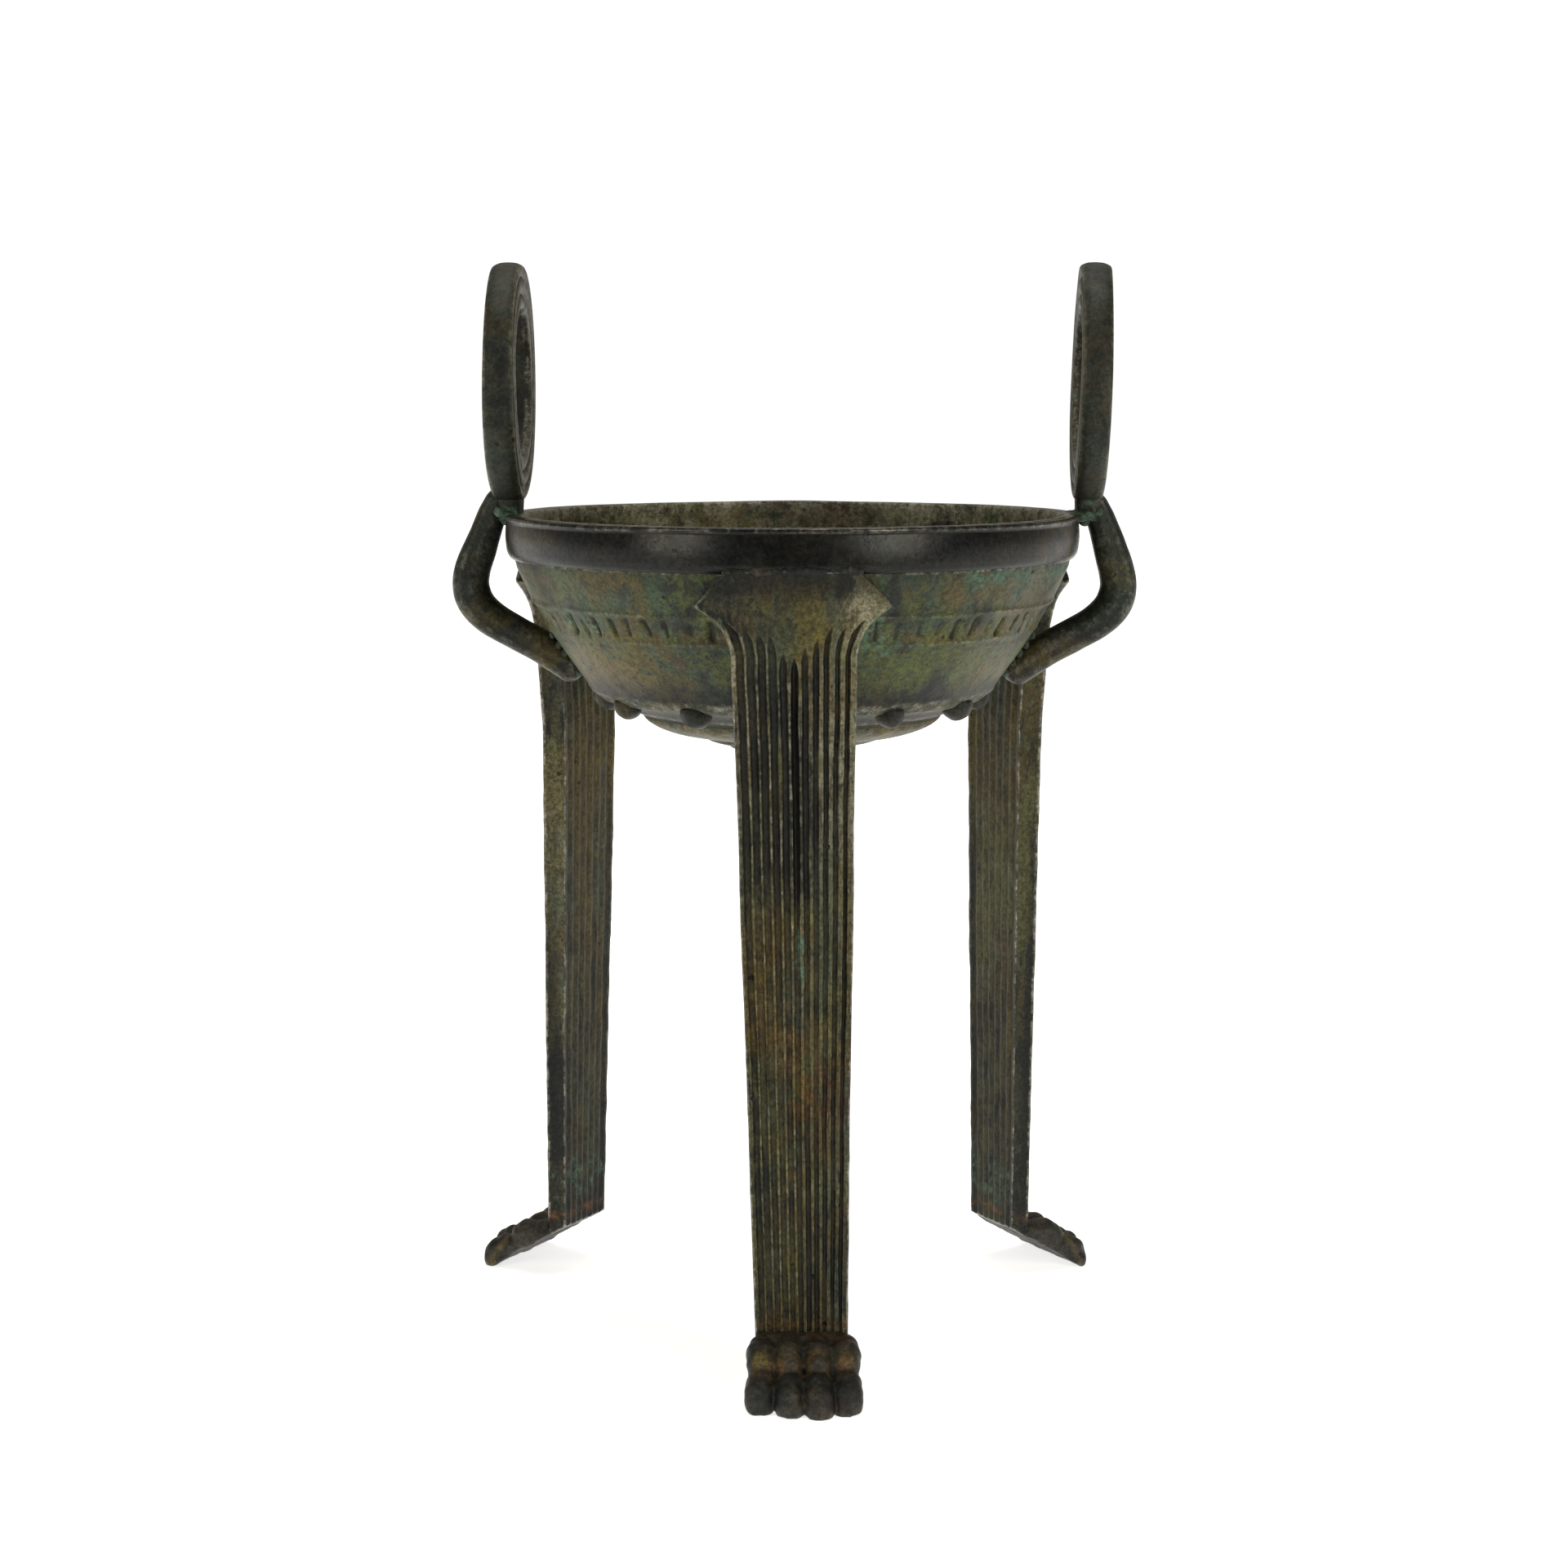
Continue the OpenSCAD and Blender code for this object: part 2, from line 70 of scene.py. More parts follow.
# Each leg's turn about z, how far it stands to one side at its top and its foot, how far its
# foot stands out, and how strongly its left and right edges are bent back.
LEGS = {
    "front": {"turn": 0, "lean": (0.15, 1.65), "splay": 0.0, "bend": (0.004, 0.020)},
    "back_right": {"turn": 120, "lean": (0.0, 0.4), "splay": -0.6, "bend": (0.005, 0.005)},
    "back_left": {"turn": 240, "lean": (0.0, -0.4), "splay": 1.5, "bend": (0.005, 0.005)},
}

# ---- noise and small helpers


def cell_random(i, j, k, seed):
    """A fixed random value between -1 and 1 for each cell of a 3-D grid."""
    h = (i * 374761393 + j * 668265263 + k * 1274126177 + seed * 144665) & 0xFFFFFFFF
    h = ((h ^ (h >> 13)) * 1103515245) & 0xFFFFFFFF
    h = h ^ (h >> 16)
    return (h & 0xFFFF) / 32767.5 - 1


def noise(p, size, seed=0):
    """Smooth noise between about -1 and 1 at points p, with features of that size."""
    q = np.asarray(p, float) / size + 1000
    cell = np.floor(q).astype(np.int64)
    f = q - cell
    f = f * f * (3 - 2 * f)
    total = 0
    for corner in range(8):
        d = np.array([corner & 1, corner >> 1 & 1, corner >> 2 & 1])
        w = np.prod(np.where(d, f, 1 - f), axis=-1)
        c = cell + d
        total = total + w * cell_random(c[..., 0], c[..., 1], c[..., 2], SEED + seed)
    return total


def fractal(p, size, seed=0, octaves=3):
    return sum(noise(p, size / 2**o, seed + o) / 2**o for o in range(octaves))


def bumps(p, layers, seed):
    """Noise of several sizes at points p. layers are (size, height) pairs in mm."""
    return sum(height * noise(p, size, seed + k) for k, (size, height) in enumerate(layers))


def smooth(x, low, high):
    """0 below low, 1 above high, and a soft step between."""
    t = np.clip((x - low) / (high - low), 0, 1)
    return t * t * (3 - 2 * t)


def patches(p, size, seed, low, high):
    """Soft patches of noise, from 0 to 1, at points p."""
    return smooth(noise(p, size, seed), low, high)


def hump(x, centre, width):
    """1 at the centre, and falling off within about that width."""
    return np.exp(-(((x - centre) / width) ** 2))


def xyz(x, y, z):
    """Points from their coordinates, each of which may be an array or one number."""
    return np.stack(np.broadcast_arrays(x, y, z), -1)


def grid_faces(rows, cols, wrap=True):
    """Quads between the rows and columns of a grid of points."""
    last = cols if wrap else cols - 1
    r, c = np.meshgrid(np.arange(rows - 1), np.arange(last), indexing="ij")
    n = (c + 1) % cols
    quads = [r * cols + c, r * cols + n, (r + 1) * cols + n, (r + 1) * cols + c]
    return np.stack(quads, -1).reshape(-1, 4).tolist()


def loop_faces(rows, cols):
    """Quads over a grid of points that closes on itself both ways."""
    c = np.arange(cols)
    n = (c + 1) % cols
    last = (rows - 1) * cols
    return grid_faces(rows, cols) + np.stack([last + c, last + n, n, c], -1).tolist()


def tube_faces(rows, cols, start=0):
    """Quads along a tube of rows of points, and a flat face at each end."""
    last = start + (rows - 1) * cols
    sides = (np.array(grid_faces(rows, cols)) + start).tolist()
    return sides + [list(range(start, start + cols))[::-1], list(range(last, last + cols))]


def new_mesh(name, points, faces):
    mesh = bpy.data.meshes.new(name)
    mesh.from_pydata(np.asarray(points, float).tolist(), [], faces)
    return mesh


def add_object(name, data):
    obj = bpy.data.objects.new(name, data)
    bpy.context.scene.collection.objects.link(obj)
    return obj


def mesh_from(bm, name):
    mesh = bpy.data.meshes.new(name)
    bm.to_mesh(mesh)
    bm.free()
    return mesh


def mesh_points(mesh, what="co"):
    values = np.zeros(len(mesh.vertices) * 3)
    mesh.vertices.foreach_get(what, values)
    return values.reshape(-1, 3)


def mesh_normals(mesh):
    return mesh_points(mesh, "normal")


def set_points(mesh, points):
    mesh.vertices.foreach_set("co", np.asarray(points, np.float32).ravel())
    mesh.update()


def blurred(mesh, values, steps):
    """Values at the vertices, each averaged with its neighbours some number of times."""
    edges = np.zeros(len(mesh.edges) * 2, np.int64)
    mesh.edges.foreach_get("vertices", edges)
    a, b = edges.reshape(-1, 2).T
    count = np.bincount(np.concatenate([a, b]), minlength=len(values))
    count = np.maximum(count, 1)
    out = values.astype(float)
    for _ in range(steps):
        total = np.zeros_like(out)
        for k in range(out.shape[1]):
            total[:, k] = np.bincount(a, out[b, k], len(out)) + np.bincount(b, out[a, k], len(out))
        out = 0.5 * out + 0.5 * total / count[:, None]
    return out


def roughened(mesh, layers, seed):
    """Moves each point along its normal by noise. layers are (size, height) pairs in mm."""
    p, n = mesh_points(mesh), mesh_normals(mesh)
    for k, (size, height) in enumerate(layers):
        p = p + n * (height * noise(p, size, seed + 7 * k))[:, None]
    set_points(mesh, p)


def tidy_normals(mesh, join=True):
    """Turns the faces outwards, and by default joins points that lie in one place."""
    bm = bmesh.new()
    bm.from_mesh(mesh)
    if join:
        bmesh.ops.remove_doubles(bm, verts=bm.verts, dist=1e-4)
    bmesh.ops.recalc_face_normals(bm, faces=bm.faces)
    bm.to_mesh(mesh)
    bm.free()
    mesh.update()


def piece(name, mesh, nodes, material, masks=None, steps=10, reach=0.12, sharp=None):
    """Finishes a mesh in mm as a shown piece in metres. Two values per point are how far a point
    stands out of its surroundings or lies in them, and masks are further values per point. The
    first pales rubbed high places, partly as a painted highlight, and the masks hold painted
    light and painted shade besides real colours."""
    p = mesh_points(mesh)
    soft = blurred(mesh, p, steps)
    out = ((p - soft) * mesh_normals(mesh)).sum(1) / reach
    spared = 1 - np.clip((masks or {}).get("spared", np.zeros(len(p))), 0, 1)
    values = {"wear_and_highlight": np.clip(out, 0, 1) * spared, "deep": np.clip(-out, 0, 1)}
    for key in ("gold", "char", "verd", "rust", "pale"):
        values[key] = np.clip((masks or {}).get(key, np.zeros(len(p))), 0, 1)
    for key, value in values.items():
        layer = mesh.attributes.new(key, "FLOAT", "POINT")
        layer.data.foreach_set("value", value.astype(np.float32))
    set_points(mesh, p * MM)
    mesh.shade_smooth()
    if sharp:
        mesh.set_sharp_from_angle(angle=math.radians(sharp))
    mesh.materials.append(material)
    obj = add_object(name, mesh)
    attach(obj, "root")
    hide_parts(*nodes)
    return obj


def revolved(name, profile, steps):
    """A closed surface round the z axis from a closed loop of (radius, z) points."""
    profile = np.asarray(profile, float)
    a = np.linspace(0, 2 * math.pi, steps, endpoint=False)
    r, z = profile[:, 0][:, None], profile[:, 1][:, None]
    points = xyz(r * np.sin(a), -r * np.cos(a), z)
    return new_mesh(name, points.reshape(-1, 3), loop_faces(len(profile), steps))


def turned(points, degrees):
    """Points turned about the z axis."""
    a = math.radians(degrees)
    m = np.array([[math.cos(a), -math.sin(a), 0], [math.sin(a), math.cos(a), 0], [0, 0, 1]])
    return points @ m.T


def voxel_mesh(mesh, size, softening=0):
    """The mesh's outer skin, remeshed to even quads and smoothed some number of times."""
    obj = add_object("remesh", mesh)
    remesh = obj.modifiers.new("Remesh", "REMESH")
    remesh.mode = "VOXEL"
    remesh.voxel_size = size
    if softening:
        soften = obj.modifiers.new("Smooth", "SMOOTH")
        soften.factor = 0.5
        soften.iterations = softening
    graph = bpy.context.evaluated_depsgraph_get()
    made = bpy.data.meshes.new_from_object(obj.evaluated_get(graph))
    bpy.data.objects.remove(obj)
    return made


def add_ball(bm, centre, radii, tilt=0.0):
    """An ellipsoid in a bmesh, tilted nose down about the x axis."""
    made = bmesh.ops.create_icosphere(bm, subdivisions=4, radius=1)
    c, s = math.cos(tilt), math.sin(tilt)
    for v in made["verts"]:
        x, y, z = (v.co[k] * radii[k] for k in range(3))
        v.co = (centre[0] + x, centre[1] + y * c - z * s, centre[2] + y * s + z * c)


def add_prism(bm, outline, half_width):
    """A solid with that outline in the y-z plane, from -half_width to half_width in x."""
    sides = [[bm.verts.new((x, y, z)) for y, z in outline] for x in (-half_width, half_width)]
    bm.faces.new(sides[0])
    bm.faces.new(sides[1][::-1])
    for k in range(len(outline)):
        n = (k + 1) % len(outline)
        bm.faces.new([sides[0][n], sides[0][k], sides[1][k], sides[1][n]])


def cut_away(mesh, point, normal):
    """Removes what lies on the normal's side of a plane, and closes the cut."""
    bm = bmesh.new()
    bm.from_mesh(mesh)
    geometry = bm.verts[:] + bm.edges[:] + bm.faces[:]
    bmesh.ops.bisect_plane(bm, geom=geometry, plane_co=point, plane_no=normal, clear_outer=True)
    bmesh.ops.holes_fill(bm, edges=[e for e in bm.edges if e.is_boundary], sides=0)
    bmesh.ops.triangulate(bm, faces=[f for f in bm.faces if len(f.verts) > 4])
    bm.to_mesh(mesh)
    bm.free()


# ---- patina materials, with painted light and shade


class Shade:
    """A short way to write the node tree of a material or a world."""

    def __init__(self, owner):
        owner.use_nodes = True
        self.tree = owner.node_tree
        self.tree.nodes.clear()
        self.place = self.add("ShaderNodeTexCoord").outputs
        self.where = self.place["Object"]

    def add(self, kind, inputs=None, **settings):
        """A new node with these settings. An input is given a value or a socket to read from."""
        node = self.tree.nodes.new(kind)
        for key, value in settings.items():
            setattr(node, key, value)
        for key, value in (inputs or {}).items():
            self.put(node.inputs[key], value)
        return node

    def put(self, socket, value):
        if isinstance(value, bpy.types.NodeSocket):
            self.tree.links.new(value, socket)
        elif hasattr(value, "__len__") and len(value) == 3 and socket.type == "RGBA":
            socket.default_value = (*value, 1)
        else:
            socket.default_value = value

    def noise(self, scale, detail=3.0, rough=0.55, stretch=None):
        """Noise with features of about 1/scale metres. stretch scales each axis."""
        where = self.where
        if stretch:
            mapping = self.add("ShaderNodeMapping", {"Vector": where, "Scale": stretch})
            where = mapping.outputs["Vector"]
        inputs = {"Vector": where, "Scale": scale, "Detail": detail, "Roughness": rough}
        return self.add("ShaderNodeTexNoise", inputs).outputs["Fac"]

    def attribute(self, name):
        return self.add("ShaderNodeAttribute", attribute_name=name).outputs["Fac"]

    def math(self, operation, a, b=0.0, clamp=False):
        return self.add("ShaderNodeMath", {0: a, 1: b}, operation=operation, use_clamp=clamp).outputs[0]

    def times(self, a, b):
        return self.math("MULTIPLY", a, b)

    def plus(self, a, b, clamp=False):
        return self.math("ADD", a, b, clamp)

    def scaled(self, value, factor, add):
        """value times factor, plus add."""
        out = self.math("MULTIPLY_ADD", value, factor)
        self.put(out.node.inputs[2], add)
        return out

    def step(self, value, low, high, top=1.0, bottom=0.0):
        """bottom below low and top above high, with a soft step between."""
        inputs = {"Value": value, "From Min": low, "From Max": high, "To Min": bottom, "To Max": top}
        return self.add("ShaderNodeMapRange", inputs, interpolation_type="SMOOTHSTEP").outputs["Result"]

    def mix(self, share, a, b, blend="MIX"):
        inputs = {"Factor": share, "A": a, "B": b}
        return self.add("ShaderNodeMix", inputs, data_type="RGBA", blend_type=blend).outputs["Result"]

    def finish(self, inputs):
        """Ends a material's tree with one shader."""
        shader = self.add("ShaderNodeBsdfPrincipled", inputs)
        self.add("ShaderNodeOutputMaterial", {"Surface": shader.outputs["BSDF"]})


OLIVE = (0.056, 0.069, 0.017)
BROWN = (0.060, 0.049, 0.013)
TEAL = (0.034, 0.057, 0.035)
# Charcoal for charring, blotches and painted shade.
CHARCOAL_AND_SHADE = (0.009, 0.010, 0.009)
# The colour of painted light and painted highlights.
PAINTED_LIGHT_TONE = (0.215, 0.202, 0.135)
GOLD = (0.098, 0.072, 0.014)
VERDIGRIS = (0.070, 0.125, 0.086)
RUST = (0.150, 0.062, 0.018)
# Rubbed bronze, also used as a painted highlight.
WORN_AND_HIGHLIGHT = (0.260, 0.245, 0.195)
# Near black for crust specks and for darkening in the low places.
NEAR_BLACK = (0.008, 0.0075, 0.005)
PORE = (0.004, 0.0035, 0.003)


def patina(name, base, second, third=TEAL, dark=0.4, green=0.35, wear_and_highlight=0.7, low_dark=0.85, gloss=0.42,
           metal=0.3, bump=0.25, streak=None):
    """Old cast bronze: mottled colours, dark blotches, verdigris in the low places, rubbed
    high places that double as a painted highlight, painted light and painted shade from the
    masks, darker low places, casting pores, and gloss that changes with them."""
    material = bpy.data.materials.new(name)
    s = Shade(material)
    colour = s.mix(s.step(s.noise(58, 4), 0.44, 0.56), base, second)
    colour = s.mix(s.step(s.noise(150, 7, 0.68, streak), 0.49, 0.57, 0.8), colour, third)
    # Painted light: paler patches wherever a piece's mask asks for light.
    pale = s.times(s.attribute("pale"), s.step(s.noise(240, 8, 0.72), 0.36, 0.56))
    colour = s.mix(pale, colour, PAINTED_LIGHT_TONE)
    blotch = s.step(s.noise(105, 8, 0.70, streak), 0.50, 0.60, dark)
    blotch = s.plus(blotch, s.step(s.noise(430, 8, 0.75, streak), 0.50, 0.62, dark * 0.8), True)
    # Charring and painted shade: this mask darkens towards charcoal.
    blotch = s.plus(blotch, s.times(s.attribute("char"), 0.95), True)
    colour = s.mix(blotch, colour, CHARCOAL_AND_SHADE)
    gold = s.times(s.attribute("gold"), s.step(s.noise(210, 8, 0.7, streak), 0.42, 0.56))
    colour = s.mix(gold, colour, GOLD)
    low = s.attribute("deep")
    speck = s.noise(420, 8, 0.75)
    verd = s.scaled(s.attribute("verd"), 0.24, speck)
    verd = s.plus(verd, s.times(low, 0.06))
    verd = s.step(verd, 0.62, 0.76, 0.85)
    verd = s.times(verd, s.plus(s.attribute("verd"), green, True))
    colour = s.mix(verd, colour, VERDIGRIS)
    rust = s.times(s.attribute("rust"), s.step(s.noise(380, 7, 0.7), 0.40, 0.60))
    colour = s.mix(rust, colour, RUST)
    # Darker in the low places.
    low_darkening = s.times(s.step(low, 0.08, 0.7), s.step(s.noise(260, 4), 0.1, 0.5, low_dark))
    colour = s.mix(low_darkening, colour, NEAR_BLACK)
    # Rubbed high places turn paler and more metallic: partly wear, partly a painted highlight.
    high = s.attribute("wear_and_highlight")
    rub_and_highlight = s.times(s.step(high, 0.15, 0.95), s.step(s.noise(460, 8, 0.75), 0.44, 0.62, wear_and_highlight))
    colour = s.mix(rub_and_highlight, colour, WORN_AND_HIGHLIGHT)
    fine = s.step(s.noise(1300, 8, 0.8), 0.42, 0.58)
    colour = s.mix(0.75, colour, s.mix(fine, (0.24, 0.24, 0.24), (0.76, 0.76, 0.76)), "OVERLAY")
    crust = s.step(s.noise(800, 6, 0.8), 0.56, 0.63, 0.75)
    colour = s.mix(crust, colour, NEAR_BLACK)
    pores = s.add("ShaderNodeTexVoronoi", {"Vector": s.where, "Scale": 230, "Randomness": 1}, feature="F1")
    near = s.step(pores.outputs["Distance"], 0.06, 0.13)
    rare = s.step(s.noise(95, 2), 0.54, 0.58)
    hole = s.times(s.math("SUBTRACT", 1.0, near), rare)
    colour = s.mix(hole, colour, PORE)
    rough = s.scaled(s.noise(300, 8, 0.7), 0.36, gloss - 0.14)
    rough = s.plus(rough, s.times(verd, 0.25))
    rough = s.plus(rough, s.times(crust, 0.15))
    rough = s.math("SUBTRACT", rough, s.times(rub_and_highlight, 0.08), True)
    grain = s.plus(s.noise(1300, 6, 0.65), s.times(s.noise(5200, 3, 0.6), 0.35))
    grain = s.math("SUBTRACT", grain, s.times(hole, 1.6))
    raised = s.add("ShaderNodeBump", {"Strength": bump, "Distance": 0.0005, "Height": grain})
    not_low = s.math("SUBTRACT", 1.0, s.times(low_darkening, 0.8))
    s.finish({"Base Color": colour, "Roughness": rough, "Normal": raised.outputs["Normal"],
              "Metallic": s.times(s.scaled(rub_and_highlight, 0.35, metal), not_low), "Specular IOR Level": 0.28})
    return material


bowl_skin = patina("patina_bowl", OLIVE, BROWN, dark=0.65, green=0.5, gloss=0.38, bump=0.45)
band_skin = patina("patina_band", (0.015, 0.015, 0.016), (0.022, 0.019, 0.015), (0.020, 0.022, 0.020),
                   dark=0.4, green=0.1, wear_and_highlight=0.3, gloss=0.25, bump=0.10, metal=0.5)
leg_skin = patina("patina_leg", (0.076, 0.074, 0.028), (0.068, 0.052, 0.018), (0.046, 0.056, 0.036),
                  dark=0.65, green=0.3, wear_and_highlight=1.0, gloss=0.29, metal=0.5, bump=0.4, streak=(1, 1, 0.3))
paw_skin = patina("patina_paw", (0.034, 0.030, 0.020), (0.042, 0.036, 0.022), (0.026, 0.025, 0.020),
                  dark=0.5, green=0.12, wear_and_highlight=0.35, bump=0.35)
ring_skin = patina("patina_ring", (0.034, 0.036, 0.023), (0.048, 0.040, 0.020), (0.026, 0.038, 0.029),
                   dark=0.5, green=0.2, wear_and_highlight=0.7, metal=0.4, bump=0.3)
strut_skin = patina("patina_strut", (0.015, 0.023, 0.013), (0.024, 0.025, 0.012), (0.015, 0.026, 0.018),
                    dark=0.5, green=0.2, wear_and_highlight=0.28, gloss=0.34, bump=0.3)
disc_skin = patina("patina_disc", (0.074, 0.062, 0.022), (0.062, 0.046, 0.016), dark=0.45, green=0.3)
braze_skin = patina("patina_braze", (0.035, 0.062, 0.040), (0.030, 0.038, 0.024), dark=0.45, green=0.6,
                    wear_and_highlight=0.5, bump=0.5)
seam_skin = patina("patina_seam", (0.022, 0.024, 0.017), (0.032, 0.030, 0.018), (0.020, 0.032, 0.024),
                   dark=0.5, green=0.25, wear_and_highlight=0.5, bump=0.5)

# ---- bowl, band, disc and studs


def wall_radius(depth):
    u = np.maximum(0, depth - BAND_HEIGHT) / (TURN_DEPTH - BAND_HEIGHT)
    return SEAT_RADIUS - (SEAT_RADIUS - TURN_RADIUS) * u**WALL_CURVE


# How many rows of the bowl's profile are its wall with the turn, its whole outside, and its
# outside with the first row inside.
WALL_ROWS, DOME_ROWS, OUT_ROWS = 96, 120, 121


def bowl_profile():
    """The bowl's section as a closed loop: down the outside, up the inside."""
    outer = [(SEAT_RADIUS, d) for d in np.linspace(0, BAND_HEIGHT, 4)[:-1]]
    outer += [(wall_radius(d), d) for d in np.linspace(BAND_HEIGHT, TURN_DEPTH - 0.5, 92)]
    outer += [(TURN_RADIUS - a, TURN_DEPTH + b) for a, b in zip(LEDGE_IN, LEDGE_DOWN)]
    outer += [(DOME_RADIUS + 1.2, DOME_DEPTH - 0.25), (DOME_RADIUS + 0.5, DOME_DEPTH - 0.1),
              (DOME_RADIUS + 0.2, DOME_DEPTH + 0.25)]
    for a in np.linspace(0.06, math.pi / 2 - 1e-6, 16):
        outer.append((DISC_RADIUS + (DOME_RADIUS - DISC_RADIUS) * math.cos(a) ** 1.3,
                      DOME_DEPTH + (DOME_BOTTOM - DOME_DEPTH) * math.sin(a)))
    outer += [(8, DOME_BOTTOM), (0.001, DOME_BOTTOM)]
    base = wall_radius(HOLLOW_DEPTH) - WALL_THICK - 0.4
    inner = [(base * math.cos(a), HOLLOW_DEPTH + HOLLOW_BOTTOM * math.sin(a))
             for a in np.linspace(math.pi / 2, 0, 26)]
    inner[0] = (0.001, inner[0][1])
    inner += [(wall_radius(d) - WALL_THICK - 0.4 * d / HOLLOW_DEPTH, d)
              for d in np.linspace(HOLLOW_DEPTH, 0.5, 26)[1:]]
    inner += [(SEAT_RADIUS - WALL_THICK + 0.3, 0.0)]
    return [(r, RIM_Z - d) for r, d in outer + inner]


def bowl_relief(r, depth, angle):
    """How far the outer wall stands out at a depth and an angle: lines, grooves and noise."""
    p = xyz(r * np.sin(angle), r * np.cos(angle), depth)
    wobble = 0.25 * noise(p, 9, 3)
    top = hump(depth, BELT_TOP + wobble, 0.55) * (0.26 + 0.18 * noise(p, 8, 5))
    bottom = hump(depth, BELT_BOTTOM + wobble, 0.6) * (0.26 + 0.24 * noise(p, 7, 6))
    second = hump(depth, BELT_BOTTOM + 1.5 + wobble, 0.4) * 0.10
    turn = angle / (2 * math.pi) * GROOVES
    k = np.floor(turn).astype(np.int64)

    def chance(n):
        return cell_random(k, 0 * k, 0 * k + n, 11 + n)

    shift = 0.14 * chance(0)
    wide = 0.66 + 0.24 * chance(1)
    strong = 0.56 + 0.34 * chance(2)
    slant = 0.12 * chance(3)
    middle = (BELT_TOP + BELT_BOTTOM) / 2 - 0.3
    across = (turn - k - 0.5 - shift + slant * (depth - middle) / 3) * 2 * math.pi * r / GROOVES
    start = 16.7 + 0.5 * chance(4)
    stop = 20.1 + 0.6 * chance(5)
    window = smooth(depth, start - 0.4, start + 0.6) * (1 - smooth(depth, stop - 0.9, stop + 0.4))
    waist = wide * (0.75 + 0.35 * noise(p, 1.6, 17))
    groove = -np.maximum(strong, 0.12) * np.exp(-((across / waist) ** 2)) * window
    low = -0.10 * window
    grain = bumps(p, [(7, 0.12), (2.4, 0.07), (1.1, 0.05)], 20)
    shoulder = 0.35 * hump(depth, 32.6, 0.8)
    band = smooth(depth, BAND_HEIGHT + 0.3, BAND_HEIGHT + 1.6)
    return (top + bottom + second + groove + low + shoulder) * band + grain * band


def make_bowl():
    profile = bowl_profile()
    steps = GROOVES * 12
    mesh = revolved("bowl_shell", profile, steps)
    p = mesh_points(mesh)
    r = np.hypot(p[:, 0], p[:, 1])
    depth = RIM_Z - p[:, 2]
    angle = np.mod(np.arctan2(p[:, 0], -p[:, 1]), 2 * math.pi)
    rows = np.repeat(np.arange(len(profile)), steps)
    outside = (rows < WALL_ROWS) & (depth > BAND_HEIGHT)
    add = np.where(outside, bowl_relief(np.maximum(r, 1), depth, angle), 0)
    under = (rows >= WALL_ROWS) & (depth > TURN_DEPTH) & (r > 1) & (rows < DOME_ROWS)
    q = xyz(p[:, 0], p[:, 1], depth)
    inside = (rows >= OUT_ROWS) & (r > 1)
    dent = bumps(q, [(14, 0.22), (5, 0.10)], 31)
    away = p / np.maximum(r, 1)[:, None]
    away[:, 2] = 0
    p = p + away * np.where(outside, add, np.where(inside, 0.6 * dent, 0))[:, None]
    p[:, 2] += np.where(under, 0.5 * dent, 0) + np.where(inside & (r < 40), dent, 0)
    set_points(mesh, p)
    x, y = p[:, 0], p[:, 1]
    out = (rows < OUT_ROWS).astype(float)
    verd = out * (0.75 * hump(depth, 9.2, 2.2) * patches(q, 11, 41, -0.5, 0.5)
                  + 0.55 * hump(depth, 17.5, 4) * patches(q, 9, 42, -0.2, 0.6)
                  + 0.5 * smooth(-x, 28, 44) * smooth(depth, 14, 22)
                  + 0.6 * hump(x, 14, 6) * hump(depth, 20, 7))
    gold = out * (0.9 * hump(depth, 26, 4.2) * patches(q, 16, 43, -0.25, 0.5)
                  + 0.5 * smooth(depth, 17, 20) * (1 - smooth(depth, 20, 22)))
    gold = gold + (1 - out) * 0.35 * smooth(-x, 8, 30) + out * 0.8 * smooth(depth, 36.4, 38)
    # Painted shadow: a dark line just under the band, and dark patches on the front wall beside the front
    # leg's head. The wall is also darker just above the turn and under it.
    char = out * (0.75 * hump(depth, 31.5, 2.2) + 0.4 * hump(depth, 8, 0.8)
                  + 0.45 * hump(depth, 10.5, 2.5) * hump(np.abs(x), 20, 6) * (y < 0)
                  + 0.2 * smooth(depth, 34, 36))
    # Painted shade: the inside darker towards the right.
    char = char + (1 - out) * 0.08 * smooth(x, 0, 20)
    rust = out * 0.4 * hump(depth, 29.5, 1.8) * patches(q, 7, 44, 0, 0.6)
    rust = rust + (1 - out) * 0.25 * hump(x, 0, 18)
    # Painted light: the inside paler at its sides and towards its top, and the outer wall paler at its left
    # and right edges.
    pale = (1 - out) * (0.62 + 0.38 * smooth(np.abs(x), 8, 30)) * (1 - smooth(depth, 8, 26))
    pale = pale + out * 0.32 * smooth(np.abs(x), 34, 46) * patches(q, 8, 45, -0.3, 0.5)
    keep = {"verd": verd, "gold": gold, "char": char, "rust": rust, "pale": pale}
    tidy = merged(mesh, keep)
    return piece("bowl_shell", mesh, ["bowl"], bowl_skin, tidy, steps=8, reach=0.16)


def merged(mesh, masks):
    """Joins doubled points at the poles, and gives the masks in the new order of points."""
    for key, value in masks.items():
        layer = mesh.attributes.new("keep_" + key, "FLOAT", "POINT")
        layer.data.foreach_set("value", np.asarray(value, np.float32))
    tidy_normals(mesh)
    out = {}
    for key in masks:
        values = np.zeros(len(mesh.vertices), np.float32)
        mesh.attributes["keep_" + key].data.foreach_get("value", values)
        out[key] = values.astype(float)
        mesh.attributes.remove(mesh.attributes["keep_" + key])
    return out


